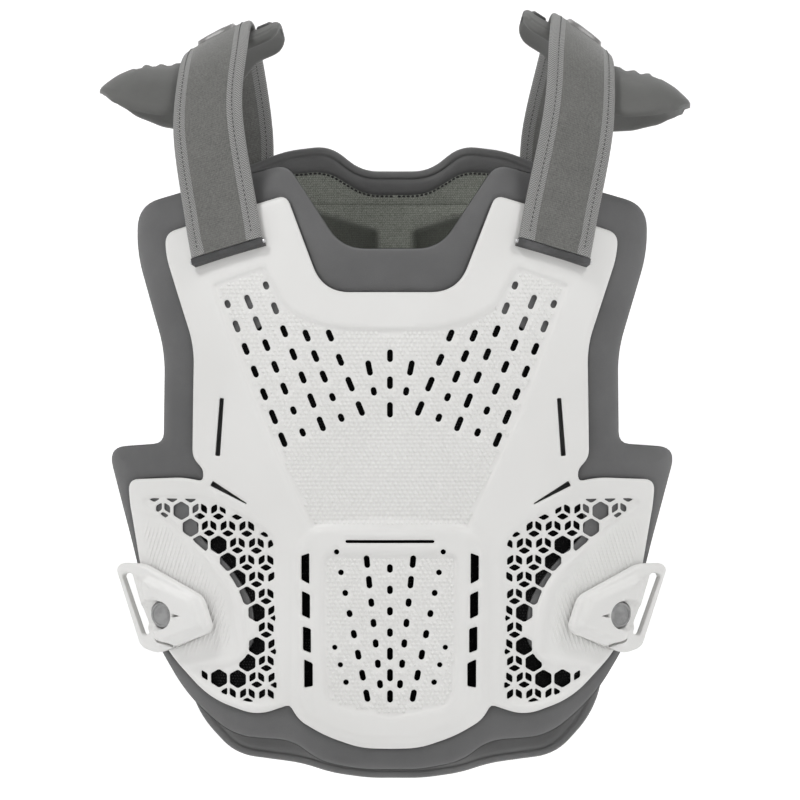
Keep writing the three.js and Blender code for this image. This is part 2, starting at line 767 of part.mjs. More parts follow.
// How far the middle of the strap is from the origin in Y at the foot of its arch.
function archFoot(panel, z) {
  const outerFace = panel.towards > 0 ? 0 : FOAM_THICKNESS;
  return panelFace(panel, SHOULDER_REACH, z) + outerFace - panel.towards * STRAP_LIFT;
}

// A strap's route, worked out on the right side: a curve through the middle of its thickness and
// width, and a second curve that gives the way its width runs inwards at the same parameter.
function strapRoute(side) {
  const crest = CAP_THICKNESS + CAP_SEAT_GAP + STRAP_THICKNESS / 2;
  const base = crest - ARCH_RISE;
  const frontY = archFoot(front, base);
  const backY = archFoot(back, base);
  const centreY = (frontY + backY) / 2;
  const halfDepth = (backY - frontY) / 2;
  const arch = ARCH_STATIONS.map(({ turn, across, tilt, lead }) => {
    const share = Math.cos(radians(turn));
    const slope = radians(tilt + share * side.tilt);
    const level = Math.cos(slope);
    const middle = new THREE.Vector3(
      across * SHOULDER_REACH + share * side.sway * STRAP_WIDTH,
      centreY + halfDepth * Math.sin(radians(turn)),
      base + share * ARCH_RISE * side.rise,
    );
    const width = new THREE.Vector3(
      -level * Math.cos(radians(lead)),
      level * Math.sin(radians(lead)),
      Math.sin(slope),
    );
    return { middle, width };
  });
  const feet = { front: strapFoot(front, FRONT_STRAP_PLACE), back: strapFoot(back, BACK_STRAP_PLACE) };
  const lifting = ({ middle, width, leaving }) => ({
    middle: middle.clone().addScaledVector(leaving, STRAP_SEAT_RUN),
    width,
  });
  const stations = [feet.front, lifting(feet.front), ...arch, lifting(feet.back), feet.back];
  const line = new THREE.CatmullRomCurve3(stations.map(({ middle }) => middle));
  const widths = new THREE.CatmullRomCurve3(stations.map(({ width }) => width));
  const lengths = line.getLengths(stations.length - 1);
  const crestStation = 2 + ARCH_STATIONS.findIndex(({ turn }) => turn === 0);
  const crestShare = lengths[crestStation] / lengths[stations.length - 1];
  return { line, widths, feet, crestShare, length: line.getLength() };
}

// A point beside a strap's route: along it as a share of its length, outwards from its middle, and
// above its middle surface.
function besideRoute(route, share, outwards, above) {
  const along = route.line.getUtoTmapping(share);
  const width = route.widths.getPoint(along).normalize();
  const normal = new THREE.Vector3().crossVectors(route.line.getTangent(along), width).normalize();
  return route.line.getPoint(along).addScaledVector(width, -outwards).addScaledVector(normal, above);
}

// A point as above, but along the route by its distance from the crest.
function besideCrest(route, distance, outwards, above) {
  return besideRoute(route, route.crestShare + distance / route.length, outwards, above);
}

// A strip along a strap's whole route, between two distances from its middle and thinner towards
// its edges by a share.
function strip(route, from, to, thickness, edgeThinning, columns) {
  const block = new THREE.BoxGeometry(1, 1, 1, columns, STRAP_STEPS, 1);
  return bend(block, (v) => {
    const height = v.z * thickness * (1 - edgeThinning * Math.abs(2 * v.x) ** 3);
    return besideRoute(route, v.y + 0.5, THREE.MathUtils.lerp(from, to, v.x + 0.5), height);
  });
}

// The shoulder cap's stations as distances outwards from the strap's middle, and the height of its
// top there above the strap's middle surface.
const capStations = CAP_STATIONS.map((station) => {
  const scale = station.reach > 0 ? CAP_REACH : CAP_TAB;
  const top = -STRAP_THICKNESS / 2 - CAP_SEAT_GAP - station.sink * scale;
  return { ...station, outwards: station.reach * scale, top };
});

function capTop(outwards) {
  const next = capStations.findIndex((station) => station.outwards >= outwards);
  const [a, b] = [capStations[next - 1], capStations[next]];
  return THREE.MathUtils.mapLinear(outwards, a.outwards, b.outwards, a.top, b.top);
}

// The cap is the surface under the strap carried on inwards to a tab and outwards to a tip.
function capGeometry(route) {
  const block = new THREE.BoxGeometry(1, 1, 1, capStations.length - 1, CAP_STEPS, 1);
  return bend(block, (v) => {
    const station = capStations[Math.round((v.x + 0.5) * (capStations.length - 1))];
    const distance = 2 * v.y * station.length * CAP_HALF_LENGTH;
    const height = station.top - (v.z < 0 ? CAP_THICKNESS * station.thick : 0);
    return besideCrest(route, distance, station.outwards, height);
  });
}

// A flat pad round the crest: along the strap, outwards from its middle, and above the height that
// the function gives for what it lies on.
function crestPad(route, middleOut, width, length, thickness, seatHeight) {
  const block = new THREE.BoxGeometry(1, 1, 1, 1, PAD_STEPS, 1);
  return bend(block, (v) => {
    const outwards = middleOut + v.x * width;
    const height = seatHeight(outwards) + SEAT_GAP + (v.z + 0.5) * thickness;
    return besideCrest(route, v.y * length, outwards, height);
  });
}

// The bar that closes a strap's end on a shell.
function addStrapBar(name, foot, parent) {
  const width = STRAP_WIDTH + 2 * (BINDING_WIDTH + SEAT_GAP);
  const bar = add(name, new THREE.BoxGeometry(width, BAR_HEIGHT, BAR_THICKNESS), rubberGrey, parent);
  const sideways = new THREE.Vector3().crossVectors(foot.leaving, foot.outwards);
  bar.setRotationFromMatrix(new THREE.Matrix4().makeBasis(sideways, foot.leaving, foot.outwards));
  bar.position
    .copy(foot.middle)
    .addScaledVector(foot.leaving, -SEAT_GAP - BAR_HEIGHT / 2)
    .addScaledVector(foot.outwards, (BAR_THICKNESS - STRAP_THICKNESS) / 2);
}

// A strap with its bindings, badge, bars, cap and patch. The group is mirrored for the left side.
function addShoulder(side) {
  const group = new THREE.Group();
  group.scale.x = side.sign;
  protector.add(group);
  const route = strapRoute(side);
  const half = STRAP_WIDTH / 2;
  const bindingNear = half + SEAT_GAP;
  const bindingFar = bindingNear + BINDING_WIDTH;
  const strap = strip(route, -half, half, STRAP_THICKNESS, STRAP_EDGE_THINNING, 2);
  add(`strap_${side.name}`, strap, strapGrey, group);
  const inner = strip(route, -bindingFar, -bindingNear, BINDING_THICKNESS, 0, 1);
  add(`strap_binding_inner_${side.name}`, inner, bindingGrey, group);
  const outer = strip(route, bindingNear, bindingFar, BINDING_THICKNESS, 0, 1);
  add(`strap_binding_outer_${side.name}`, outer, bindingGrey, group);
  addStrapBar(`strap_bar_front_${side.name}`, route.feet.front, group);
  addStrapBar(`strap_bar_back_${side.name}`, route.feet.back, group);

  const strapTop = () => STRAP_THICKNESS / 2;
  const badge = crestPad(route, 0, BADGE_WIDTH, BADGE_LENGTH, BADGE_THICKNESS, strapTop);
  add(`strap_badge_${side.name}`, badge, rubberGrey, group);
  add(`shoulder_cap_${side.name}`, capGeometry(route), rubberGrey, group);
  const patchOut = -(bindingFar + SEAT_GAP + PATCH_WIDTH / 2);
  const patch = crestPad(route, patchOut, PATCH_WIDTH, PATCH_LENGTH, PATCH_THICKNESS, capTop);
  add(`cap_patch_${side.name}`, patch, rubberGrey, group);
}

function buckleCorners(rows) {
  return rows.map(({ out, up }) => ({
    x: out * BUCKLE_HALF_WIDTH,
    y: up * BUCKLE_HALF_HEIGHT,
    round: BUCKLE_CORNER,
  }));
}

// A plate with upright edges between two heights, its top narrowed to a share of its foot.
function plainPlate(shape, from, to, narrowing = 1) {
  const geometry = new THREE.ExtrudeGeometry(shape, {
    depth: to - from,
    bevelEnabled: false,
    curveSegments: CORNER_STEPS,
  });
  return solid(
    bend(geometry, (v) => {
      const share = v.z > (to - from) / 2 ? narrowing : 1;
      return v.set(v.x * share, v.y * share, v.z + from);
    }),
  );
}

// A round solid about the local Z axis from rows of radius and height, first and last on the axis.
function turned(profile) {
  const geometry = new THREE.LatheGeometry(
    profile.map(([radius, height]) => new THREE.Vector2(radius, height)),
    ROUND_SIDES,
  );
  geometry.rotateX(Math.PI / 2);
  return solid(geometry);
}

// The buckle's empty webbing slot, parallel to its outer edge.
function webbingSlot() {
  const [top, foot] = buckleCorners(BUCKLE_OUTLINE).map(({ x, y }) => new THREE.Vector2(x, y));
  const along = foot.clone().sub(top);
  const middle = top.clone().add(foot).multiplyScalar(0.5);
  const inwards = new THREE.Vector2(along.y, -along.x).normalize();
  middle.addScaledVector(inwards, BUCKLE_RAIL + BUCKLE_SLOT_WIDTH / 2);
  const angle = Math.atan2(along.x, -along.y);
  return slotShape(middle, angle, BUCKLE_SLOT_WIDTH, BUCKLE_SLOT_LENGTH);
}

function buckleBody() {
  const top = BUCKLE_PLATE + BUCKLE_CROWN;
  const plate = plainPlate(roundedOutline(buckleCorners(BUCKLE_OUTLINE)), 0, BUCKLE_PLATE);
  const crownShape = roundedOutline(buckleCorners(BUCKLE_CROWN_OUTLINE));
  const crown = plainPlate(crownShape, BUCKLE_PLATE / 2, top, CROWN_NARROWING);
  const keyhole = turned([
    [0, -1],
    [KEYHOLE_RADIUS, -1],
    [KEYHOLE_RADIUS, BUCKLE_PLATE],
    [KEYHOLE_RADIUS + KEYHOLE_DISH, top + 1],
    [0, top + 1],
  ]);
  const { out, up, turn } = RELEASE_SLIT_PLACE;
  const slitPlace = new THREE.Vector2(out * BUCKLE_HALF_WIDTH, up * BUCKLE_HALF_HEIGHT);
  const slit = slotShape(slitPlace, Math.PI / 2 + radians(turn), RELEASE_SLIT_WIDTH, RELEASE_SLIT_LENGTH);
  return plate
    .add(crown)
    .subtract(keyhole)
    .subtract(plainPlate([webbingSlot(), slit], -1, top + 1));
}

// The stud that the buckle snaps over: a shank on the shell, and a head inside the keyhole.
function studGeometry() {
  const head = KEYHOLE_RADIUS - STUD_CLEARANCE;
  const headFoot = BUCKLE_PLATE * 0.4;
  const headTop = BUCKLE_PLATE + BUCKLE_CROWN * 0.6;
  return geometryOf(
    turned([
      [0, 0],
      [STUD_SHANK_RADIUS, 0],
      [STUD_SHANK_RADIUS, headFoot],
      [head, headFoot],
      [head, BUCKLE_PLATE],
      [head * 0.6, headTop],
      [0, headTop],
    ]),
  );
}

// A buckle on its stud, square to the shell at its place. The group is mirrored for the left side.
function addBuckle(side) {
  const mirror = new THREE.Group();
  mirror.scale.x = side.sign;
  protector.add(mirror);
  const { point, outwards, inwards } = seatOn(front, BUCKLE_PLACE);
  const right = inwards.clone().negate();
  const up = new THREE.Vector3().crossVectors(outwards, right);
  const seat = new THREE.Group();
  seat.setRotationFromMatrix(new THREE.Matrix4().makeBasis(right, up, outwards));
  seat.position.copy(point).addScaledVector(outwards, BUCKLE_SEAT_GAP);
  mirror.add(seat);
  add(`side_buckle_${side.name}`, geometryOf(buckleBody()), shellWhite, seat);
  add(`buckle_stud_${side.name}`, studGeometry(), studGrey, seat);
}

addFrontPanel();
addBackPanel();
for (const side of SIDES) {
  addShoulder(side);
  addBuckle(side);
}

export default protector;
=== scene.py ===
"""The looks of a roost deflector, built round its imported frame.

Lengths are millimetres until a mesh is made, and the frame's metres from there on. +X is to the
right as seen from the front, +Y to the back, +Z up. Left and right are as seen from the front.
"""

from math import cos, hypot, pi, radians, sin, sqrt, tau

import bmesh
import bpy
import numpy as np
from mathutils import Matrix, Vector
from mathutils.geometry import delaunay_2d_cdt
from mathutils.kdtree import KDTree


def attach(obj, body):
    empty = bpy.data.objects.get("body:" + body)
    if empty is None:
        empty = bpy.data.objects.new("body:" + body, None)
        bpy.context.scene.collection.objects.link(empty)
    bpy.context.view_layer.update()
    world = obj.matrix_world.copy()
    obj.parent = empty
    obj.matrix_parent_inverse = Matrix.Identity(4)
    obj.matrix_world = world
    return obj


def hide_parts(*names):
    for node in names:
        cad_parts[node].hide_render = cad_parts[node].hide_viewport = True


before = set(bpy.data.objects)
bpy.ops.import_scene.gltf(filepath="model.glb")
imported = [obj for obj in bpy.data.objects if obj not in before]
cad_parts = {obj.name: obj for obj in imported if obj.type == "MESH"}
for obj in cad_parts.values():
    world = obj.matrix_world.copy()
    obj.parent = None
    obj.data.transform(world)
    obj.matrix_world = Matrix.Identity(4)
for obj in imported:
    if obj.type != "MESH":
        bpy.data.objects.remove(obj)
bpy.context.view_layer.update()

MM = 0.001
SIDES = (("left", -1), ("right", 1))

# The forms of the solids, which the visible pieces follow.
FRONT = dict(half=182, height=380, top=-74, face=-118, bow=150, margin=39, lean=32.5, kick=9.8, towards=1)
BACK = dict(half=158, height=437, top=-48, face=94, bow=120, margin=63, lean=28, kick=4, towards=-1)
BEND_DOWN = 0.41
CORNER = 10
SEAT_GAP = 0.3
SHELL = 3
FOAM = 14
CENTRE_RAISE = 4.5
CENTRE_SLOPE = 6.2
LINER_RECESS = 2.2
CLOTH = 1.5
RIM = 0.3
RECESS_DEPTH = 1.6
PAD_DEPTH = 1.1
COMB_DEPTH = 1.2
WING_RISE = 1.2
CREASE_DEPTH = 1
CREASE_PLACE = 0.29
BACK_RELIEF = 1
SHELL_EDGE = (2.2, 1.5)
FRONT_SHELL_FACE = -(SEAT_GAP + SHELL)
BACK_SHELL_FACE = FOAM + SEAT_GAP + SHELL

# Outlines of a panel's right half, top to bottom: share of the half width across, share of the
# height down, and the corner's rounding as a multiple of CORNER.
FRONT_FOAM = (
    (0, 0.142, 0), (0.167, 0.142, 1.6), (0.364, -0.003, 0.9), (0.903, 0.061, 2), (0.901, 0.142, 1.4),
    (0.789, 0.311, 1.4), (0.792, 0.464, 0.7), (1.006, 0.472, 1.3), (0.892, 0.663, 2.5),
    (0.835, 0.787, 1.8), (0.705, 0.887, 1.8), (0.543, 0.949, 1.4), (0.336, 0.953, 1),
    (0.246, 0.987, 1), (0.1, 1, 1.4), (0, 1, 0),
)
FRONT_SHELL = (
    (0, 0.216, 0), (0.23, 0.216, 1.7), (0.361, 0.053, 0.6), (0.792, 0.113, 0.9), (0.785, 0.153, 1),
    (0.678, 0.303, 1.2), (0.683, 0.487, 0.6), (0.643, 0.507, 0.35), (0.646, 0.526, 0.3),
    (0.717, 0.52, 0.7), (0.92, 0.525, 0.9), (0.915, 0.563, 0.8), (0.869, 0.687, 1.5),
    (0.785, 0.805, 1.2), (0.626, 0.884, 1.4), (0.459, 0.911, 1.2), (0.344, 0.891, 0.25),
    (0.313, 0.916, 0.6), (0.224, 0.941, 1), (0.1, 0.961, 1.2), (0, 0.962, 0),
)
CENTRE = (
    (0, 0.58, 0), (0.256, 0.59, 1), (0.34, 0.626, 1.4), (0.34, 0.887, 0.25), (0.307, 0.912, 0.6),
    (0.219, 0.936, 1), (0.099, 0.956, 1.2), (0, 0.957, 0),
)
CHEST_RECESS = (
    (0, 0.275, 0), (0.202, 0.272, 1.4), (0.347, 0.242, 0.8), (0.431, 0.17, 0.4), (0.622, 0.201, 0.4),
    (0.442, 0.424, 2), (0.269, 0.605, 0.4), (0, 0.605, 0),
)
BELLY_RECESS = (
    (0, 0.64, 0), (0.232, 0.64, 0.7), (0.235, 0.8, 1), (0.216, 0.892, 0.9), (0, 0.913, 0),
)
WING = (
    (0.355, 0.64, 1.2), (0.512, 0.585, 1.5), (0.65, 0.535, 0.8), (1.1, 0.5, 0), (1.1, 0.95, 0),
    (0.355, 0.95, 0),
)
LINER = (
    (0, 0.297, 0), (0.202, 0.268, 1.2), (0.335, 0.25, 0.8), (0.453, 0.272, 0.5), (0.565, 0.325, 0.6),
    (0.537, 0.345, 1.2), (0.403, 0.495, 1.2), (0.369, 0.574, 0.6), (0.492, 0.576, 0.8),
    (0.66, 0.547, 0.6), (0.672, 0.613, 0.8), (0.549, 0.668, 1), (0.47, 0.726, 1),
    (0.47, 0.795, 0.6), (0.582, 0.834, 0.4), (0.699, 0.837, 0.3), (0.599, 0.88, 0.6),
    (0.482, 0.896, 0.8), (0.363, 0.882, 0.6), (0.319, 0.89, 0.6), (0, 0.897, 0),
)
BACK_FOAM = (
    (0, 0.041, 0), (0.145, 0.041, 1.1), (0.283, 0.002, 1.1), (0.474, 0.011, 1), (0.829, 0.064, 2),
    (0.836, 0.172, 1.8), (0.776, 0.309, 2.5), (0.987, 0.469, 2.5), (1, 0.664, 3),
    (0.862, 0.889, 1.8), (0.697, 0.958, 1.4), (0.408, 0.975, 1), (0.283, 0.991, 1),
    (0.118, 1, 1.2), (0, 1, 0),
)
BACK_SHELL = (
    (0, 0.114, 0), (0.197, 0.114, 1.2), (0.316, 0.069, 1), (0.553, 0.069, 1), (0.77, 0.11, 1.2),
    (0.711, 0.309, 2.5), (0.842, 0.476, 2.5), (0.855, 0.652, 2.5), (0.711, 0.865, 1.8),
    (0.395, 0.92, 1.6), (0, 0.934, 0),
)
BACK_RECESS = (
    (0, 0.16, 0), (0.22, 0.16, 1), (0.5, 0.125, 1), (0.64, 0.14, 1), (0.59, 0.309, 2),
    (0.7, 0.49, 2), (0.71, 0.645, 2), (0.58, 0.83, 1.6), (0.34, 0.87, 1.4), (0, 0.884, 0),
)
BACK_SPINE = ((0, 0.19, 0), (0.11, 0.19, 0.8), (0.17, 0.5, 3), (0.11, 0.85, 0.8), (0, 0.85, 0))
BACK_LINING = (
    (0, 0.079, 0), (0.132, 0.079, 1.1), (0.296, 0.043, 0.9), (0.513, 0.05, 0.9), (0.724, 0.092, 1.4),
    (0.684, 0.309, 2.5), (0.882, 0.485, 2.2), (0.888, 0.652, 2.5), (0.763, 0.858, 1.6),
    (0.395, 0.938, 1.4), (0, 0.961, 0),
)
LINING_POCKET = (
    (0.072, 0.132, 0.2), (0.27, 0.111, 0.4), (0.42, 0.098, 0.5), (0.5, 0.2, 0.8), (0.3, 0.24, 0.8),
    (0.072, 0.24, 0.4),
)

POCKET_DEPTH = 8
CREASE_HEIGHT = -89
CREASE_REACH = 75

# Slots of the shell: the column's first and last middle, and the length of each slot.
SLOT_WIDTH = 3.6
S, M, L = 5.4, 7.9, 9.6
COLUMNS = (
    ((0, 0.32), (0, 0.408), (M, M, L)),
    ((0.071, 0.34), (0.055, 0.378), (L, S)),
    ((0.205, 0.287), (0.101, 0.406), (M, M, L, L)),
    ((0.285, 0.287), (0.166, 0.421), (M, M, M, S, S)),
    ((0.427, 0.204), (0.234, 0.431), (S, M, M, M, M, L, L)),
    ((0.487, 0.231), (0.298, 0.445), (L, L, M, M, M, S, S)),
    ((0.561, 0.234), (0.366, 0.457), (S, M, M, M, M, L, L)),
    ((0, 0.666), (0, 0.875), (S, S, S, S, M, M, M)),
    ((0.078, 0.655), (0.034, 0.855), (M, M, S, S, S, S, S)),
    ((0.181, 0.639), (0.079, 0.874), (3.4, 3.6, 4, 4.6, S, 6.4, 7, M)),
    ((0.188, 0.795), (0.15, 0.852), (3.4, 3.4, 3.6)),
)
VENTS = (
    ((0.302, 0.646), (0.302, 0.685), (0.274, 0.692), (0.274, 0.641)),
    ((0.3, 0.703), (0.3, 0.743), (0.272, 0.749), (0.272, 0.709)),
    ((0.297, 0.761), (0.297, 0.8), (0.269, 0.805), (0.269, 0.765)),
    ((0.293, 0.815), (0.293, 0.862), (0.263, 0.859), (0.263, 0.821)),
)
SIDE_SLITS = (
    ((0.578, 0.389), (0.593, 0.484), 2.8, 3.2),
    ((0.615, 0.529), (0.491, 0.562), 3.6, 0.8),
)
TOP_SLIT = (0.622, 55, 2)
HONEYCOMB = (
    (0.864, 0.562, 0.15), (0.835, 0.554, 0.2), (0.638, 0.554, 0.6), (0.492, 0.586, 0.8),
    (0.392, 0.618, 0.9), (0.386, 0.884, 0.6), (0.47, 0.893, 0.8), (0.593, 0.876, 0.6),
    (0.689, 0.837, 0.2), (0.543, 0.832, 0.5), (0.484, 0.808, 0.7), (0.501, 0.726, 1),
    (0.559, 0.674, 1), (0.736, 0.605, 0.8),
)
PAD_EDGE = 9
CELL_ANCHOR = (0.558, 0.603)
CELL_PITCH = 12.1
CELL_RADIUS = 6
THIRD_SHARE = 0.76
THIRD_SHIFT = 0.03
OPEN_BAND = 12

# The studs of the recesses' grain: their spread, the radii of foot and crown, and the heights of
# foot, crown and tip
STUD_PITCH = 3
STUD_ROW = 2.6
STUD_RADII = (1.32, 0.8)
STUD_HEIGHTS = (-0.06, 0.45, 0.6)

# The buckle's pad and the slanting ribs on it
RIB_PITCH = 2.6
RIB_SLANT = 0.32
RIB_HEIGHT = 0.42
BUCKLE_PAD = (
    (0.755, 0.589, 0.4), (0.626, 0.658, 0.6), (0.549, 0.708, 0.6), (0.515, 0.811, 0.5),
    (0.717, 0.832, 0.5), (0.97, 0.8, 0), (1.05, 0.56, 0),
)

# Straps and caps
SHOULDER = 116
ARCH_RISE = 78
STRAP_LIFT = 16
STRAP_WIDTH = 36
STRAP_THICK = 8
SEAT_RUN = 26
FOOT_ROLL = 16
EDGE_FALL = 0.42
BINDING_WIDTH = 6
BINDING_THICK = 5
BINDING_LAP = 3.6
BAR = 4
CAP_THICK = 6
CAP_GAP = 0.8
CAP_REACH = 83
CAP_TAB = 40
PATCH_HALF = (5.5, 15)
PATCH_GROOVE = 0.5
BADGE_HALF = (14, 22)
DENTS = (38, 47, 56)
DENT_DEPTH = 2.4
CAP_HALF = 84
ARCH = ((-75, 1.008, 19, -16), (-40, 1.005, 23, -8), (0, 1, 29.5, 0), (40, 0.975, 22, 6), (75, 0.93, 17, 10))
CAP_STATIONS = (
    (-1, 0.3, 0.8, 0.05), (-0.94, 0.4, 1, 0.04), (-0.8, 0.45, 1, 0.03), (-0.45, 0.47, 1, 0),
    (0, 0.72, 1, 0), (0.28, 1.02, 1, 0), (0.42, 1.02, 1, -0.07), (0.62, 0.95, 1, -0.165),
    (0.82, 0.78, 0.9, -0.18), (0.94, 0.56, 0.75, -0.16), (1, 0.3, 0.5, -0.13),
)
SWAY = {"left": -0.05, "right": 0.2}
RISE = {"left": 1.05, "right": 1.075}
TILT = {"left": -1.5, "right": 8}
FRONT_STRAP_PLACE = (0.556, 0.145)
BACK_STRAP_PLACE = (0.63, 0.16)

# Buckles, in shares of their half width out and half height up
BUCKLE_HALF = (36, 32)
BUCKLE_PLATE = 5
BUCKLE_GAP = 0.5
BUCKLE_TOP = 9
BUCKLE_PLACE = (0.776, 0.747)
BUCKLE_OUTLINE = (
    (1, 0.87), (0.53, -0.62), (0.42, -0.7), (0.14, -0.78), (-0.92, -0.33), (-0.98, -0.19),
    (-0.8, 0.38), (0.4, 0.98), (0.89, 0.99),
)
BUCKLE_CROWN = ((0.42, 0.62), (0.1, -0.6), (-0.84, -0.22), (-0.68, 0.3), (0.34, 0.74))
KEYHOLE = 9
WEDGE = ((-9.9, 1.3, 0.2), (-15.5, 0.1, 0.1), (-9.9, -1.1, 0.2))
DISH = ((-1, 10.6, 8), (9, 10.2, 9), (19.6, 5, 6), (19.6, -5, 6), (9, -10.2, 9), (-1, -10.6, 8))
DISH_DEPTH = 4.6
CREASE = ((24, 25.6), (10.5, 19), (1.5, 15))

# Turned pieces, in rows of radius and height
PIN_HEAD = ((0.05, 1.1), (0.6, 1.0), (1.1, 0.6), (1.25, 0), (1.25, -1.5), (0.05, -1.5))
STUD_HEAD = (
    (0.05, 0), (5, 0), (5, 1.9), (7.7, 2), (8, 2.4), (8, 5.4), (7.7, 5.9), (7.1, 6.1), (6.5, 5.9),
    (6.2, 5.4), (5.6, 5.2), (3, 5.5), (0.05, 5.6),
)


# Plane shapes

def smooth(t):
    t = np.clip(t, 0, 1)
    return t * t * (3 - 2 * t)


def bump_at(distance, width):
    """A bump of height 1 where a distance is 0, about as wide as the width on each side."""
    return np.exp(-((distance / width) ** 2))


def stepped(depth, run):
    """From 0 at a recess's rim, a little outside its ring, to 1 where its floor starts."""
    return smooth((depth + RIM) / run)


def folded(flat):
    """The points of a panel with its left half laid over the right one."""
    return np.stack((np.abs(flat[:, 0]), flat[:, 1]), axis=1)


def upright(flat, y):
    """Points of a panel's plane with their places in Y."""
    return np.stack((flat[:, 0], y, flat[:, 1]), axis=1)


def staggered(low, high, pitch, row_step):
    """Points in rows between two corners, every other row shifted by half a pitch."""
    points = []
    for k, z in enumerate(np.arange(low[1], high[1], row_step)):
        points += [(x, z) for x in np.arange(low[0] + (k % 2) * pitch / 2, high[0], pitch)]
    return points


def face_of(panel, x, z):
    """The Y of a panel's bowed face."""
    semi = panel["half"] + panel["margin"]
    bow = panel["bow"] * (1 - np.sqrt(1 - (x / semi) ** 2))
    drop = panel["height"] * BEND_DOWN
    above = (z - (panel["top"] - drop)) / drop
    below = -above * BEND_DOWN / (1 - BEND_DOWN)
    slope = np.where(above > 0, panel["lean"] * above**2, panel["kick"] * below**2)
    return panel["face"] + panel["towards"] * (bow + slope)


def spot(panel, across, down):
    return np.array((across * panel["half"], panel["top"] - down * panel["height"]))


def rounded(corners, step):
    """A closed ring of points about one step apart, each corner (x, z, radius) rounded."""
    ring = []
    count = len(corners)
    for i, (x, z, radius) in enumerate(corners):
        at = np.array((x, z), float)
        before = np.array(corners[i - 1][:2], float) - at
        after = np.array(corners[(i + 1) % count][:2], float) - at
        sizes = np.linalg.norm(before), np.linalg.norm(after)
        setback = min(radius, sizes[0] * 0.48, sizes[1] * 0.48)
        start, end = at + before / sizes[0] * setback, at + after / sizes[1] * setback
        turns = max(1, round(1.6 * setback / step)) if setback else 0
        for k in range(turns + 1):
            t = k / turns if turns else 0
            ring.append((1 - t) ** 2 * start + 2 * t * (1 - t) * at + t * t * end)
    return resampled(np.array(ring), step)


def circle(x, z, radius, sides, start=0):
    turns = start + np.arange(sides) * tau / sides
    return np.column_stack((x + radius * np.cos(turns), z + radius * np.sin(turns)))


def resampled(ring, step):
    """The ring with its long sides divided, so that no two points are much over a step apart."""
    made = []
    for a, b in zip(ring, np.roll(ring, -1, axis=0)):
        gap = np.linalg.norm(b - a)
        if gap < 1e-6:
            continue
        parts = max(1, round(gap / step))
        made += [a + (b - a) * k / parts for k in range(parts)]
    return np.array(made)


def half_ring(panel, rows, step):
    return rounded([(*spot(panel, *row[:2]), row[2] * CORNER) for row in rows], step)


def mirrored_ring(panel, rows, step):
    """The ring of a half outline and its mirror image."""
    half = [(*spot(panel, *row[:2]), row[2] * CORNER) for row in rows]
    other = [(-x, z, radius) for x, z, radius in reversed(half) if x > 0]
    return rounded(half + other, step)


AT_ONCE = 3_000_000


def in_parts(reckon, points, ring):
    """Runs a reckoning of points against a ring's sides on a part of the points at a time."""
    size = max(1, AT_ONCE // len(ring))
    parts = [points[i : i + size] for i in range(0, len(points), size)]
    return np.concatenate([reckon(part, ring, np.roll(ring, -1, axis=0)) for part in parts])


def side_crossings(points, starts, ends):
    x, z = points[:, :1], points[:, 1:]
    rise = ends[:, 1] - starts[:, 1]
    rise = np.where(rise == 0, 1e-12, rise)
    crossing = starts[:, 0] + (ends[:, 0] - starts[:, 0]) * (z - starts[:, 1]) / rise
    return ((((starts[:, 1] > z) != (ends[:, 1] > z)) & (x < crossing)).sum(axis=1) % 2).astype(bool)


def side_distances(points, starts, ends):
    side = ends - starts
    size = np.maximum((side * side).sum(axis=1), 1e-12)
    dx, dz = points[:, :1] - starts[:, 0], points[:, 1:] - starts[:, 1]
    t = np.clip((dx * side[:, 0] + dz * side[:, 1]) / size, 0, 1)
    dx -= t * side[:, 0]
    dz -= t * side[:, 1]
    return np.sqrt((dx * dx + dz * dz).min(axis=1))


def is_inside(points, ring):
    return in_parts(side_crossings, points, ring)


def edge_distance(points, ring):
    return in_parts(side_distances, points, ring)


def depth_in(points, ring):
    """How far each point is inside a ring, below 0 outside it."""
    distance = edge_distance(points, ring)
    return np.where(is_inside(points, ring), distance, -distance)


def offset_ring(ring, distance):
    """The ring moved inwards by a distance. It may run either way round."""
    before, after = np.roll(ring, 1, axis=0), np.roll(ring, -1, axis=0)
    along = after - before
    along /= np.maximum(np.linalg.norm(along, axis=1), 1e-9)[:, None]
    area = (ring[:, 0] * after[:, 1] - after[:, 0] * ring[:, 1]).sum()
    normal = np.stack((-along[:, 1], along[:, 0]), axis=1) * (1 if area > 0 else -1)
    return ring + normal * distance


def offsets(ring, *distances, signs=(1,)):
    """The ring moved inwards by each distance, on the sides that are asked for."""
    return [offset_ring(ring, d) * (sign, 1) for d in distances for sign in signs]


def rounded_edge(flat, ring, run, fall):
    """How far a moulding's face falls towards its outline, as a rounded edge."""
    return fall * np.clip(1 - edge_distance(flat, ring) / run, 0, 1) ** 2


def tree_of(points):
    tree = KDTree(len(points))
    for i, (x, z) in enumerate(points):
        tree.insert((x, z, 0), i)
    tree.balance()
    return tree


def gaps_to(tree, points):
    """The distance of each point from the nearest point of a tree."""
    return np.array([tree.find((x, z, 0))[2] for x, z in points])


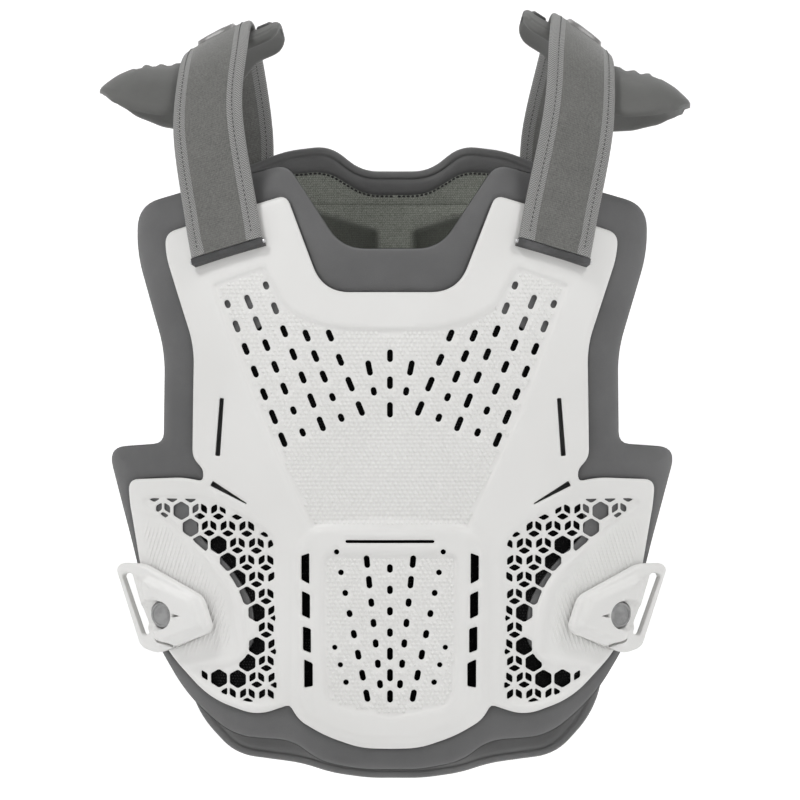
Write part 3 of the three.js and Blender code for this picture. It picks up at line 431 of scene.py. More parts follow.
def filled(outline, holes, guides, pitch):
    """Triangles that fill an outline round its convex holes, with points along the guides and a
    regular spread of them elsewhere. Gives points, triangles and the rings' indices."""
    rings = [outline, *holes]
    fixed = np.concatenate(rings)
    labels = np.concatenate([np.full(len(ring), i + 1) for i, ring in enumerate(rings)])
    low, high = outline.min(axis=0), outline.max(axis=0)
    spread = staggered(low, high, pitch, pitch * sqrt(3) / 2)
    loose = [(p, 0.3) for guide in guides for p in guide] + [(p, 0.62 * pitch) for p in spread]
    points = np.array([p for p, _ in loose])
    keep = is_inside(points, outline)
    for hole in holes:
        near = keep & (points > hole.min(axis=0)).all(axis=1) & (points < hole.max(axis=0)).all(axis=1)
        where = np.flatnonzero(near)
        if len(where):
            keep[where[is_inside(points[where], hole)]] = False
    tree = tree_of(fixed)
    kept = [
        (p, gap) for (p, gap), ok in zip(loose, keep) if ok and tree.find((p[0], p[1], 0))[2] > max(gap, 0.4)
    ]
    lines = [p for p, gap in kept if gap == 0.3]
    line_tree = tree_of(lines or [(1e6, 1e6)])
    chosen = list(lines)
    chosen += [p for p, gap in kept if gap != 0.3 and line_tree.find((p[0], p[1], 0))[2] > gap]
    everything = np.concatenate([fixed, np.array(chosen).reshape(-1, 2)])
    edges, first = [], 0
    for ring in rings:
        count = len(ring)
        edges += [(first + i, first + (i + 1) % count) for i in range(count)]
        first += count
    made, _, faces, origins, _, _ = delaunay_2d_cdt(
        [Vector(p) for p in everything], edges, [], 0, 1e-7
    )
    made = np.array([tuple(v) for v in made])
    label = np.zeros(len(made), int)
    place = {}
    for i, origin in enumerate(origins):
        for o in origin:
            place[o] = i
            if o < len(labels):
                label[i] = labels[o]
    faces = np.array(faces)
    of_face = label[faces]
    same = (of_face[:, 0] == of_face[:, 1]) & (of_face[:, 1] == of_face[:, 2])
    drop = same & (of_face[:, 0] > 1)
    doubtful = np.flatnonzero(same & (of_face[:, 0] == 1))
    if len(doubtful):
        centres = made[faces[doubtful]].mean(axis=1)
        drop[doubtful[~is_inside(centres, outline)]] = True
    loops, first = [], 0
    for ring in rings:
        loops.append([place[first + i] for i in range(len(ring))])
        first += len(ring)
    return made, faces[~drop], loops


# Pieces

def piece(name, points, faces, slot, finish, stands_for=(), sharp=38, cloth=None, marks=None):
    """A visible piece from points in millimetres. cloth gives each point's place on its fabric,
    and marks any other values that its finish reads."""
    mesh = bpy.data.meshes.new(name)
    mesh.from_pydata((np.asarray(points, float) * MM).tolist(), [], [tuple(map(int, f)) for f in faces])
    mesh.validate()
    worked = bmesh.new()
    worked.from_mesh(mesh)
    bmesh.ops.recalc_face_normals(worked, faces=worked.faces)
    worked.to_mesh(mesh)
    worked.free()
    if cloth is not None:
        layer = mesh.attributes.new("cloth", "FLOAT_VECTOR", "POINT")
        layer.data.foreach_set("vector", np.asarray(cloth, np.float32).ravel() * MM)
    for key, values in (marks or {}).items():
        layer = mesh.attributes.new(key, "FLOAT", "POINT")
        layer.data.foreach_set("value", np.asarray(values, np.float32))
    mesh.shade_smooth()
    mesh.set_sharp_from_angle(angle=radians(sharp))
    made = bpy.data.objects.new(name, mesh)
    bpy.context.scene.collection.objects.link(made)
    mesh.materials.append(finish)
    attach(made, "root")
    if stands_for:
        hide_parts(*stands_for)
    return made


def sheet_mesh(panel, outline, holes, guides, pitch, near, far):
    """Points and faces of a sheet that follows a panel, between two heights that are worked out
    for each point as distances in Y from the panel's face."""
    flat, faces, loops = filled(outline, holes, guides, pitch)
    face = face_of(panel, flat[:, 0], flat[:, 1])
    heights = [face + near(flat), face + far(flat)]
    count = len(flat)
    points = np.concatenate([upright(flat, y) for y in heights])
    every = [tuple(f) for f in faces] + [(c + count, b + count, a + count) for a, b, c in faces]
    for loop in loops:
        for a, b in zip(loop, loop[1:] + loop[:1]):
            every.append((a, b, b + count, a + count))
    return points, every, flat


def lofted(rings, closed_ends=True):
    """Points and faces of a skin over rings of points, one after the other."""
    rings = np.asarray(rings, float)
    count, around = rings.shape[:2]
    points = rings.reshape(-1, 3)
    faces = []
    for i in range(count - 1):
        for k in range(around):
            n = (k + 1) % around
            faces.append((i * around + k, i * around + n, (i + 1) * around + n, (i + 1) * around + k))
    if closed_ends:
        points = np.concatenate([points, rings[[0, -1]].mean(axis=1)])
        first, last = len(points) - 2, len(points) - 1
        for k in range(around):
            n = (k + 1) % around
            faces.append((first, n, k))
            faces.append((last, (count - 1) * around + k, (count - 1) * around + n))
    return points, faces


def joined(parts):
    """Several (points, faces) as one."""
    points, faces, first = [], [], 0
    for some, these in parts:
        points.append(np.asarray(some, float))
        faces += [tuple(i + first for i in f) for f in these]
        first += len(some)
    return np.concatenate(points), faces


# Finishes

class Value:
    """A number that varies over a surface: a node's socket that can be reckoned with."""

    def __init__(self, finish, socket):
        self.finish = finish
        self.socket = socket

    def reckon(self, operation, *numbers, clamp=False):
        return self.finish.value("Math", {"operation": operation, "use_clamp": clamp}, numbers)

    def __add__(self, other):
        return self.reckon("ADD", self, other)

    def __sub__(self, other):
        return self.reckon("SUBTRACT", self, other)

    def __rsub__(self, other):
        return self.reckon("SUBTRACT", other, self)

    def __mul__(self, other):
        return self.reckon("MULTIPLY", self, other)

    __radd__ = __add__
    __rmul__ = __mul__

    def clamped(self):
        return self.reckon("ADD", self, 0, clamp=True)

    def between(self, low, high):
        """0 at the low value, 1 at the high one, and smooth in between."""
        return self.finish.value(
            "MapRange",
            {"interpolation_type": "SMOOTHSTEP"},
            {"Value": self, "From Min": low, "From Max": high},
        )


class Finish:
    """A material made of nodes round one Principled shader."""

    def __init__(self, name, **constants):
        self.material = bpy.data.materials.new(name)
        self.material.use_nodes = True
        self.nodes = self.material.node_tree.nodes
        self.links = self.material.node_tree.links
        self.nodes.clear()
        self.shader = self.nodes.new("ShaderNodeBsdfPrincipled")
        out = self.nodes.new("ShaderNodeOutputMaterial")
        self.links.new(self.shader.outputs[0], out.inputs[0])
        for key, value in constants.items():
            self.shader.inputs[key.replace("_", " ")].default_value = value

    def node(self, kind, settings, inputs, output=0):
        made = self.nodes.new("ShaderNode" + kind)
        for key, value in settings.items():
            setattr(made, key, value)
        pairs = inputs.items() if isinstance(inputs, dict) else enumerate(inputs)
        for key, value in pairs:
            self.join(value, made.inputs[key])
        return made.outputs[output]

    def join(self, value, socket):
        if isinstance(value, Value):
            value = value.socket
        if isinstance(value, bpy.types.NodeSocket):
            self.links.new(value, socket)
        else:
            socket.default_value = value

    def value(self, kind, settings, inputs, output=0):
        return Value(self, self.node(kind, settings, inputs, output))

    def feed(self, **inputs):
        for key, value in inputs.items():
            self.join(value, self.shader.inputs[key.replace("_", " ")])

    def place(self):
        return self.node("TexCoord", {}, {}, "Object")

    def mark(self, name):
        return self.value("Attribute", {"attribute_name": name}, {}, "Fac")

    def cloth(self):
        """The place on the fabric: across and along, in metres."""
        place = self.node("Attribute", {"attribute_name": "cloth"}, {}, "Vector")
        split = self.nodes.new("ShaderNodeSeparateXYZ")
        self.links.new(place, split.inputs[0])
        return Value(self, split.outputs[0]), Value(self, split.outputs[1])

    def noise(self, scale, detail=3, roughness=0.55, vector=None):
        inputs = {"Scale": scale, "Detail": detail, "Roughness": roughness}
        inputs["Vector"] = self.place() if vector is None else vector
        return self.value("TexNoise", {}, inputs)

    def tint(self, factor, low, high):
        """A colour between two, by a factor."""
        inputs = {0: factor, 6: (*low, 1), 7: (*high, 1)}
        return self.node("Mix", {"data_type": "RGBA"}, inputs, 2)

    def bump(self, height, strength, distance, normal=None):
        inputs = {"Height": height, "Strength": strength, "Distance": distance}
        if normal is not None:
            inputs["Normal"] = normal
        return self.node("Bump", {}, inputs)


def shell_finish(name="shell_white"):
    """Satin off-white moulded plastic: faint mould flow, a fine skin, and scuffs in its gloss."""
    f = Finish(name, Specular_IOR_Level=0.4)
    flow = f.noise(9, 2, 0.5)
    grain = f.noise(2600, 2, 0.6)
    scuff = f.noise(38, 5, 0.7).between(0.56, 0.74)
    f.feed(
        Base_Color=f.tint(flow.between(0.3, 0.7), (0.79, 0.785, 0.768), (0.83, 0.825, 0.81)),
        Roughness=0.36 + scuff * 0.1 + grain * 0.06,
        Normal=f.bump(grain, 0.12, 0.0002, f.bump(flow, 0.15, 0.004)),
    )
    return f.material


def foam_finish(name, dark, light, roughness=0.56):
    """Moulded foam with a closed skin: fine pores, and a faint mottling."""
    f = Finish(name, Specular_IOR_Level=0.5, Sheen_Weight=0.12, Sheen_Roughness=0.5)
    mottle = f.noise(16, 4, 0.6)
    pores = f.noise(1700, 3, 0.7)
    rubbed = f.noise(60, 4, 0.65).between(0.52, 0.7)
    f.feed(
        Base_Color=f.tint((mottle * 0.7 + pores * 0.3).between(0.3, 0.7), dark, light),
        Roughness=roughness + pores * 0.14 - rubbed * 0.08,
        Normal=f.bump(pores, 0.3, 0.0003, f.bump(mottle, 0.12, 0.003)),
    )
    return f.material


def wave(value, period):
    """From 0 to 1 and back over each period, smoothly."""
    turn = value * (tau / period)
    return turn.reckon("SINE", turn) * 0.5 + 0.5


def strap_finish():
    """Dark grey brushed fabric: short fibres over a faint knit, with a nap that varies in shade."""
    f = Finish("strap_cloth", Specular_IOR_Level=0.2, Sheen_Weight=0.35, Sheen_Roughness=0.45)
    across, along = f.cloth()
    fibres = f.noise(900, 4, 0.75)
    nap = f.noise(70, 4, 0.6)
    knit = wave(across, 0.0011) * wave(along, 0.0014)
    height = fibres * 0.85 + knit * 0.15
    shade = (height * 0.85 + nap * 0.15).between(0.25, 0.75)
    f.feed(
        Base_Color=f.tint(shade, (0.11, 0.11, 0.104), (0.24, 0.24, 0.228)),
        Roughness=0.82 + fibres * 0.15,
        Normal=f.bump(height, 0.55, 0.0005),
    )
    return f.material


def tape_finish():
    """Grey herringbone edge tape."""
    f = Finish("edge_tape", Specular_IOR_Level=0.3, Sheen_Weight=0.2)
    across, along = f.cloth()
    fold = across.reckon("PINGPONG", across, 0.0032) * 1.1
    twill = wave(along + fold, 0.0016)
    yarn = wave(across, 0.00055)
    fuzz = f.noise(1300, 3, 0.7)
    height = twill * 0.6 + yarn * 0.15 + fuzz * 0.25
    f.feed(
        Base_Color=f.tint(height.between(0.2, 0.85), (0.16, 0.16, 0.156), (0.44, 0.44, 0.43)),
        Roughness=0.7 + fuzz * 0.2,
        Normal=f.bump(height, 0.7, 0.0006),
    )
    return f.material


def knit_finish(name, dark, light, cell):
    """A lining of knitted cloth: small loops in staggered rows, with painted shade where a mark
    for the pockets' hollows is 1."""
    f = Finish(name, Specular_IOR_Level=0.2, Sheen_Weight=0.25)
    x, z = f.cloth()
    loops = wave(x + wave(z, cell * 2) * (cell / 2), cell) * wave(z, cell)
    fuzz = f.noise(900, 3, 0.7)
    cloud = f.noise(11, 3, 0.5)
    height = loops * 0.3 + fuzz * 0.7
    shade = (height * 0.7 + cloud * 0.3).between(0.2, 0.75)
    f.feed(
        # Painted shade: the knit is darkened in the pockets' hollows.
        Base_Color=f.tint(shade * (1 - f.mark("insert") * 0.75), dark, light),
        Roughness=0.85 + fuzz * 0.1,
        Normal=f.bump(height, 0.5, 0.0005),
    )
    return f.material


def mesh_finish():
    """Black open mesh: dark knitted holes between slightly lighter threads."""
    f = Finish("black_mesh", Specular_IOR_Level=0.12)
    x, z = f.cloth()
    threads = wave(x + wave(z, 0.0036) * 0.0009, 0.0018) * wave(z, 0.0018)
    worn = f.noise(45, 3, 0.6).between(0.5, 0.62)
    shade = (threads.between(0.35, 0.8) * worn).clamped()
    f.feed(
        Base_Color=f.tint(shade, (0.002, 0.002, 0.002), (0.03, 0.03, 0.031)),
        Roughness=0.95 - threads * 0.1,
        Normal=f.bump(threads, 0.6, 0.0006),
    )
    return f.material


def rubber_finish(name, dark, light, roughness):
    """Satin moulded rubber with a fine grain and rubbed patches."""
    f = Finish(name, Specular_IOR_Level=0.5)
    grain = f.noise(1500, 2, 0.6)
    rubbed = f.noise(55, 4, 0.6).between(0.45, 0.65)
    f.feed(
        Base_Color=f.tint(rubbed, dark, light),
        Roughness=roughness + grain * 0.1 - rubbed * 0.05,
        Normal=f.bump(grain, 0.2, 0.0003),
    )
    return f.material


def stud_finish():
    """Satin grey plastic with faint clouds in its tone and a fine grain."""
    f = Finish("stud_grey", Specular_IOR_Level=0.5)
    clouds = f.noise(120, 3, 0.6)
    grain = f.noise(2200, 2, 0.6)
    f.feed(
        Base_Color=f.tint(clouds.between(0.35, 0.65), (0.25, 0.25, 0.25), (0.34, 0.34, 0.34)),
        Roughness=0.32 + grain * 0.12,
        Normal=f.bump(grain, 0.2, 0.0002),
    )
    return f.material


def pin_finish():
    """Bright pin heads with fine scratches."""
    f = Finish("pin_steel", Metallic=1)
    scratches = f.noise(900, 4, 0.7)
    f.feed(
        Base_Color=f.tint(scratches.between(0.3, 0.7), (0.55, 0.55, 0.56), (0.75, 0.75, 0.76)),
        Roughness=0.22 + scratches * 0.15,
        Normal=f.bump(scratches, 0.15, 0.0001),
    )
    return f.material


def thread_finish(name, dark, light):
    """Sewing thread with a fine mottled grain."""
    f = Finish(name, Specular_IOR_Level=0.35)
    plies = f.noise(2400, 2, 0.6)
    f.feed(
        Base_Color=f.tint(plies.between(0.3, 0.7), dark, light),
        Roughness=0.6 + plies * 0.2,
        Normal=f.bump(plies, 0.5, 0.0003),
    )
    return f.material


SHELL_WHITE = shell_finish()
FRONT_GREY = foam_finish("front_foam_grey", (0.1, 0.1, 0.101), (0.135, 0.135, 0.136))
BACK_GREY = foam_finish("back_foam_grey", (0.1, 0.1, 0.1), (0.135, 0.135, 0.134))
CAP_GREY = foam_finish("cap_foam_grey", (0.1, 0.101, 0.096), (0.14, 0.141, 0.135), 0.6)
STRAP_CLOTH = strap_finish()
TAPE = tape_finish()
LINING = knit_finish("lining_knit", (0.075, 0.079, 0.067), (0.44, 0.46, 0.405), 0.0012)
BLACK_MESH = mesh_finish()
RUBBER = rubber_finish("dark_rubber", (0.045, 0.045, 0.046), (0.075, 0.075, 0.077), 0.42)
BADGE_RUBBER = rubber_finish("badge_rubber", (0.23, 0.225, 0.22), (0.28, 0.275, 0.27), 0.24)
STUD_GREY = stud_finish()
PIN_STEEL = pin_finish()
DARK_THREAD = thread_finish("dark_thread", (0.012, 0.012, 0.012), (0.04, 0.04, 0.04))
TAPE_THREAD = thread_finish("tape_thread", (0.03, 0.03, 0.03), (0.09, 0.09, 0.09))


# The front shell

def slot_ring(middle, angle, width, length):
    """A slot with blunt pointed ends, turned from upright."""
    end, tip = length / 2, width * 0.18
    side, shoulder = width / 2, max(length / 2 - width * 0.3, 0.2)
    corners = [
        (-tip, end), (-side, shoulder), (-side, -shoulder), (-tip, -end),
        (tip, -end), (side, -shoulder), (side, shoulder), (tip, end),
    ]
    turn = np.array(((cos(angle), -sin(angle)), (sin(angle), cos(angle))))
    ring = rounded([(*(turn @ np.array(c)), 0.5) for c in corners], 1.1)
    return ring + middle


def column_slots():
    """Every slot's ring."""
    slots = []
    for start, end, lengths in COLUMNS:
        for sign in (1,) if start[0] == 0 else (1, -1):
            a, b = spot(FRONT, *start) * (sign, 1), spot(FRONT, *end) * (sign, 1)
            angle = np.arctan2(b[0] - a[0], a[1] - b[1])
            for i, length in enumerate(lengths):
                middle = a + (b - a) * i / (len(lengths) - 1)
                slots.append(slot_ring(middle, angle, min(SLOT_WIDTH, length * 0.98), length))
    return slots


def cut_rings():
    """The vents and slits, on both sides."""
    down, length, width = TOP_SLIT
    rings = [slot_ring(spot(FRONT, 0, down), pi / 2, width, length)]
    for sign in (1, -1):
        for vent in VENTS:
            rings.append(rounded([(*(spot(FRONT, *c) * (sign, 1)), 0.6) for c in vent], 1.5))
        for start, end, wide, narrow in SIDE_SLITS:
            a, b = spot(FRONT, *start) * (sign, 1), spot(FRONT, *end) * (sign, 1)
            way = (b - a) / hypot(*(b - a))
            side = np.array((-way[1], way[0]))
            wide, narrow = side * wide / 2, side * narrow / 2
            corners = [a + wide, a - wide, b - narrow, b + narrow]
            rings.append(rounded([(*c, 0.5) for c in corners], 1.5))
    return rings


def trimmed(ring, region, margin):
    """The ring with each point that is outside the region drawn in towards the ring's middle."""
    middle = ring.mean(axis=0)
    if depth_in(middle[None], region)[0] < margin:
        return None
    fine = resampled(ring, 1.0)
    low, high = np.zeros(len(fine)), np.ones(len(fine))
    fits = depth_in(fine, region) >= margin
    for _ in range(7):
        mid = (low + high) / 2
        ok = depth_in(middle + (fine - middle) * mid[:, None], region) >= margin
        low, high = np.where(ok, mid, low), np.where(ok, high, mid)
    share = np.where(fits, 1, low)
    shape = middle + (fine - middle) * share[:, None]
    after = np.roll(shape, -1, axis=0)
    area = abs((shape[:, 0] * after[:, 1] - after[:, 0] * shape[:, 1]).sum()) / 2
    return shape if area > 3.2 else None


def honeycomb_rings():
    """The cells of the honeycomb on the right side: open ones along the buckle's pad, and the rest
    with three ribs that divide them."""
    region = half_ring(FRONT, HONEYCOMB, 2)
    pad_edge = np.array([spot(FRONT, *row[:2]) for row in HONEYCOMB[PAD_EDGE:]])
    anchor = spot(FRONT, *CELL_ANCHOR)
    row_step = CELL_PITCH * sqrt(3) / 2
    rings = []
    for row in range(-16, 17):
        for column in range(-16, 17):
            middle = anchor + ((column + (row % 2) / 2) * CELL_PITCH, row * row_step)
            if depth_in(middle[None], region)[0] < -CELL_RADIUS * 0.8:
                continue
            spokes = circle(0, 0, CELL_RADIUS, 6, pi / 2)
            gaps = [edge_distance(middle[None], np.array(pair))[0] for pair in zip(pad_edge, pad_edge[1:])]
            if min(gaps) < OPEN_BAND:
                cells = [middle + spokes]
            else:
                cells = []
                for k in (0, 2, 4):
                    along = spokes[(k + 1) % 6]
                    corners = middle + np.array(((0, 0), spokes[k], along, spokes[(k + 2) % 6]))
                    centre = corners.mean(axis=0)
                    cells.append(centre + (corners - centre) * THIRD_SHARE + along * THIRD_SHIFT)
            for cell in cells:
                ring = rounded([(*c, 0.7) for c in cell], 1.2)
                shape = trimmed(ring, region, 0.5)
                if shape is not None:
                    rings.append(shape)
    return rings


def front_shell():
    """The chest shell. Gives its holes, the rings of its forms and its relief, which the grain
    and the ribs follow."""
    outline = mirrored_ring(FRONT, FRONT_SHELL, 1.8)
    comb = honeycomb_rings()
    slots = column_slots()
    holes = slots + cut_rings() + comb + [ring * (-1, 1) for ring in comb]
    recesses = {
        "chest": mirrored_ring(FRONT, CHEST_RECESS, 2.2),
        "belly": mirrored_ring(FRONT, BELLY_RECESS, 2.2),
        "centre": mirrored_ring(FRONT, CENTRE, 2.2),
    }
    halves = {"comb": HONEYCOMB, "pad": BUCKLE_PAD, "wing": WING}
    for key, rows in halves.items():
        recesses[key] = half_ring(FRONT, rows, 2.2)
    guides = offsets(outline, 0.5, 1.2, 2.2)
    for key in ("chest", "belly"):
        guides += offsets(recesses[key], -RIM, 0.9, 2)
    guides += offsets(recesses["centre"], 0, 1.4, 3, 4.6, CENTRE_SLOPE)
    for sign in (1, -1):
        guides += offsets(recesses["pad"], -RIM, 0.9, 2, signs=(sign,))
        guides += offsets(recesses["comb"], -2.2, -1.2, -0.2, signs=(sign,))
    guides += [offset_ring(hole, -0.7) for hole in holes]
    hole_tree = tree_of(np.concatenate(holes))

    def relief(flat):
        """How far the shell's skin stands out from the panel's face."""
        half = folded(flat)
        inside = {key: depth_in(half if key in halves else flat, ring) for key, ring in recesses.items()}
        centre = smooth(inside["centre"] / CENTRE_SLOPE)
        out = SEAT_GAP + SHELL + CENTRE_RAISE * centre
        out -= RECESS_DEPTH * stepped(inside["chest"], 2.3)
        out -= RECESS_DEPTH * stepped(inside["belly"], 2.3)
        out -= PAD_DEPTH * stepped(inside["pad"], 2.3)
        out -= COMB_DEPTH * smooth((inside["comb"] + 2.4) / 2.4)
        out += WING_RISE * (1 - smooth((inside["wing"] + 6) / 12)) * (1 - centre)
        crease = bump_at(half[:, 0] - CREASE_PLACE * FRONT["half"], 3.2)
        out -= CREASE_DEPTH * crease * smooth(inside["centre"] / 9)
        out -= rounded_edge(flat, outline, *SHELL_EDGE)
        out -= 0.55 * np.clip(1 - gaps_to(hole_tree, flat) / 0.7, 0, 1)
        return -out

    def back_skin(flat):
        raised = smooth(depth_in(flat, offset_ring(recesses["centre"], SHELL)) / 3)
        return -SEAT_GAP - (CENTRE_RAISE - 1.2) * raised

    made = sheet_mesh(FRONT, outline, holes, guides, 2.3, relief, back_skin)
    piece("front_shell_moulding", *made[:2], "shell_plastic", SHELL_WHITE, ["front_shell"], 50)
    return holes, recesses, relief


def stud_grain(holes, recesses, relief):
    """The studded grain of the two recesses: low six-sided studs in staggered rows."""
    hole_tree = tree_of(np.concatenate(holes))
    middles = []
    for key in ("chest", "belly"):
        ring = recesses[key]
        spread = np.array(staggered(ring.min(axis=0), ring.max(axis=0), STUD_PITCH, STUD_ROW))
        spread = spread[depth_in(spread, ring) > 3.4]
        middles.append(spread[gaps_to(hole_tree, spread) > 2])
    middles = np.concatenate(middles)
    rings = [(middles[:, None] + circle(0, 0, radius, 6, pi / 6)).reshape(-1, 2) for radius in STUD_RADII]
    flat = np.concatenate([*rings, middles])
    count = len(middles)
    rise = np.repeat(STUD_HEIGHTS, (6 * count, 6 * count, count))
    points = upright(flat, face_of(FRONT, flat[:, 0], flat[:, 1]) + relief(flat) - rise)
    faces = []
    for i in range(count):
        low, high, top = 6 * i, 6 * (count + i), 12 * count + i
        for k in range(6):
            n = (k + 1) % 6
            faces.append((low + k, low + n, high + n, high + k))
            faces.append((high + k, high + n, top))
        faces.append(tuple(low + k for k in reversed(range(6))))
    piece("front_shell_grain", points, faces, "shell_plastic", SHELL_WHITE)


def pad_ribs(holes, recesses, relief):
    """Fine slanting ribs on the pads that the buckles sit on."""
    hole_tree = tree_of(np.concatenate(holes))
    ring = recesses["pad"]
    outline = mirrored_ring(FRONT, FRONT_SHELL, 1.8)
    downs = np.arange(0, 120, 3)
    beds, sizes = [], []
    for start in np.arange(80, 200, RIB_PITCH):
        line = np.column_stack((start + RIB_SLANT * (downs - 70), FRONT["top"] - 218 - downs))
        line = line[(depth_in(line, ring) > 3.2) & (depth_in(line, outline) > 4)]
        line = line[gaps_to(hole_tree, line) > 2.4] if len(line) else line
        if len(line) > 3:
            sizes.append(len(line))
            beds += [p + (shift, 0) for p in line for shift in (-0.75, -0.3, 0.3, 0.75)]
    beds = np.array(beds)
    skin = face_of(FRONT, beds[:, 0], beds[:, 1]) + relief(beds)
    parts, first = [], 0
    for size in sizes:
        ends = np.clip(np.minimum(np.arange(size), np.arange(size)[::-1]), 0, 2) / 2
        rise = np.outer(ends, (0, RIB_HEIGHT, RIB_HEIGHT, 0)) - (0.05, 0, 0, 0.05)
        here = slice(first, first + 4 * size)
        points = np.column_stack((beds[here, 0], skin[here] - rise.ravel(), beds[here, 1]))
        for sign in (1, -1):
            parts.append(lofted(mirror(points, sign).reshape(size, 4, 3)))
        first += 4 * size
    piece("buckle_pad_ribs", *joined(parts), "shell_plastic", SHELL_WHITE)


# Foam and linings

def pillow(distance, width, depth):
    """How far a foam's skin falls back from its face near its edge."""
    t = np.clip(1 - distance / width, 0, 1)
    return depth * (1 - np.sqrt(np.maximum(1 - t**2, 0)))


EDGE_ROWS = (0.35, 1, 2, 3.5, 4.8, 5.6, 6.4, 7.4, 9, 11, 14)


def level(height):
    """A height that is the same all over a sheet."""
    return lambda flat: height + 0 * flat[:, 0]


def front_foam():
    """The front pad: a rounded edge, a recess for the mesh, a groove at the shell's edge, and
    troughs under the shell's side slits."""
    outline = mirrored_ring(FRONT, FRONT_FOAM, 3)
    liner = mirrored_ring(FRONT, LINER, 3)
    shell = mirrored_ring(FRONT, FRONT_SHELL, 3)
    guides = offsets(outline, *EDGE_ROWS) + offsets(liner, 0, 0.8) + offsets(shell, -1.2, 0, 1)
    half = FOAM / 2
    slits = [np.array([spot(FRONT, *end) for end in row[:2]]) for row in SIDE_SLITS]
    for top, foot in slits:
        around = rounded([(*p, 0) for p in (top + (0.1, 0), foot + (0.1, 0), foot, top)], 1.5)
        guides += offsets(around, -0.4, -1, -1.8, signs=(1, -1))

    def near(flat):
        fall = pillow(edge_distance(flat, outline), 17, half + 1)
        sunk = LINER_RECESS * smooth(depth_in(flat, liner) / 0.8 + 0.2)
        groove = 1.4 * bump_at(depth_in(flat, shell), 1.2)
        troughs = [6 * smooth((1.6 - edge_distance(folded(flat), line)) / 1.4) for line in slits]
        return fall + np.max([sunk, groove, *troughs], axis=0)

    def far(flat):
        return FOAM - pillow(edge_distance(flat, outline), 12, half)

    made = sheet_mesh(FRONT, outline, [], guides, 5, near, far)
    foam = piece("front_foam_pad", *made[:2], "foam", FRONT_GREY, ["front_foam"], 60)


def front_liner():
    """The mesh in the front pad's recess."""
    inner = offset_ring(mirrored_ring(FRONT, LINER, 3), 0.6)
    low = LINER_RECESS - SEAT_GAP - CLOTH
    points, faces, _ = sheet_mesh(FRONT, inner, [], [], 6, level(low), level(low + CLOTH))
    places = points[:, (0, 2, 1)] * (1, 1, 0)
    mesh = piece("front_mesh_liner", points, faces, "liner_mesh", BLACK_MESH, ["front_liner"], cloth=places)


SEAM = mirrored_ring(BACK, BACK_LINING, 3)
POCKET = half_ring(BACK, LINING_POCKET, 3)


def dips(flat):
    """Moulded hollows of the lined face: two pockets below the neck, and a crease above them
    with a low swelling under it."""
    half = folded(flat)
    hollow = POCKET_DEPTH * smooth((depth_in(half, POCKET) + 1) / 3.5)
    above = flat[:, 1] - CREASE_HEIGHT
    crease = 1.5 * bump_at(above, 1.4) - 1.2 * bump_at(above + 6, 3.5)
    return hollow + crease * smooth((CREASE_REACH - half[:, 0]) / 20)


def back_foam():
    """The back pad, with a lip and a groove round its lined face."""
    outline = mirrored_ring(BACK, BACK_FOAM, 3)
    half = FOAM / 2
    guides = offsets(outline, *EDGE_ROWS) + offsets(SEAM, -4, -2.4, -1.2, 0, 1)

    def inner(flat):
        fall = pillow(edge_distance(flat, outline), 12, half)
        lip = 1.6 * smooth(-(depth_in(flat, SEAM) + 0.8) / 3) * smooth(edge_distance(flat, outline) / 9)
        groove = 1.9 * bump_at(edge_distance(flat, outline) - 6, 1.1)
        under = 1.4 * smooth((depth_in(flat, SEAM) - 1) / 3)
        return fall - lip + groove + under + dips(flat)

    def outer(flat):
        return FOAM - pillow(edge_distance(flat, outline), 12, half)

    made = sheet_mesh(BACK, outline, [], guides, 5, inner, outer)
    foam = piece("back_foam_pad", *made[:2], "foam", BACK_GREY, ["back_foam"], 60)


def back_lining():
    """The knitted lining, sewn to the back pad along its edge."""
    def cloth_near(flat):
        return -SEAT_GAP - CLOTH + rounded_edge(flat, SEAM, 2.2, 1.1) + dips(flat)

    def cloth_far(flat):
        return -SEAT_GAP + 0.1 + dips(flat)

    guides = offsets(SEAM, 0.5, 1.2, 2.2) + offsets(POCKET, -1.5, 0, 1.5, 3, signs=(1, -1))
    for drop in (-2.5, 0, 2.5, 6, 9):
        guides.append(np.array([(x, CREASE_HEIGHT - drop) for x in np.arange(-78, 79, 2.5)]))
    points, faces, _ = sheet_mesh(BACK, SEAM, [], guides, 4, cloth_near, cloth_far)
    places = points[:, (0, 2, 1)] * (1, 1, 0)
    # Painted shade for the pockets' hollows, which the lining's finish darkens.
    marks = {"insert": smooth((depth_in(folded(places), POCKET) + 0.5) / 2)}
    lining = piece(
        "back_knit_lining", points, faces, "lining_fabric", LINING, ["back_lining"], cloth=places, marks=marks
    )
    line = offset_ring(resampled(SEAM, 1.5), 0.9)
    path = upright(line, face_of(BACK, line[:, 0], line[:, 1]) + cloth_near(line) - 0.15)
    path = np.concatenate([path, path[:1]])
    stitches("lining_stitches", [path], 3.1, 2.2, 0.75, DARK_THREAD, "lining_fabric")


def back_shell():
    """The plain back shell, with a shallow recess and a low spine."""
    shell = mirrored_ring(BACK, BACK_SHELL, 2.2)
    recess = mirrored_ring(BACK, BACK_RECESS, 2.5)
    spine = mirrored_ring(BACK, BACK_SPINE, 2.5)
    guides = offsets(shell, 0.5, 1.2, 2.2) + offsets(recess, -RIM, 1, 2.4) + offsets(spine, -2, 0, 2, 4)

    def plate(flat):
        sunk = BACK_RELIEF * stepped(depth_in(flat, recess), 2.7)
        raised = BACK_RELIEF * smooth((depth_in(flat, spine) + 2) / 6)
        return BACK_SHELL_FACE - rounded_edge(flat, shell, *SHELL_EDGE) - sunk + raised

    made = sheet_mesh(BACK, shell, [], guides, 4, level(BACK_SHELL_FACE - SHELL), plate)
    piece("back_shell_moulding", *made[:2], "shell_plastic", SHELL_WHITE, ["back_shell"], 50)


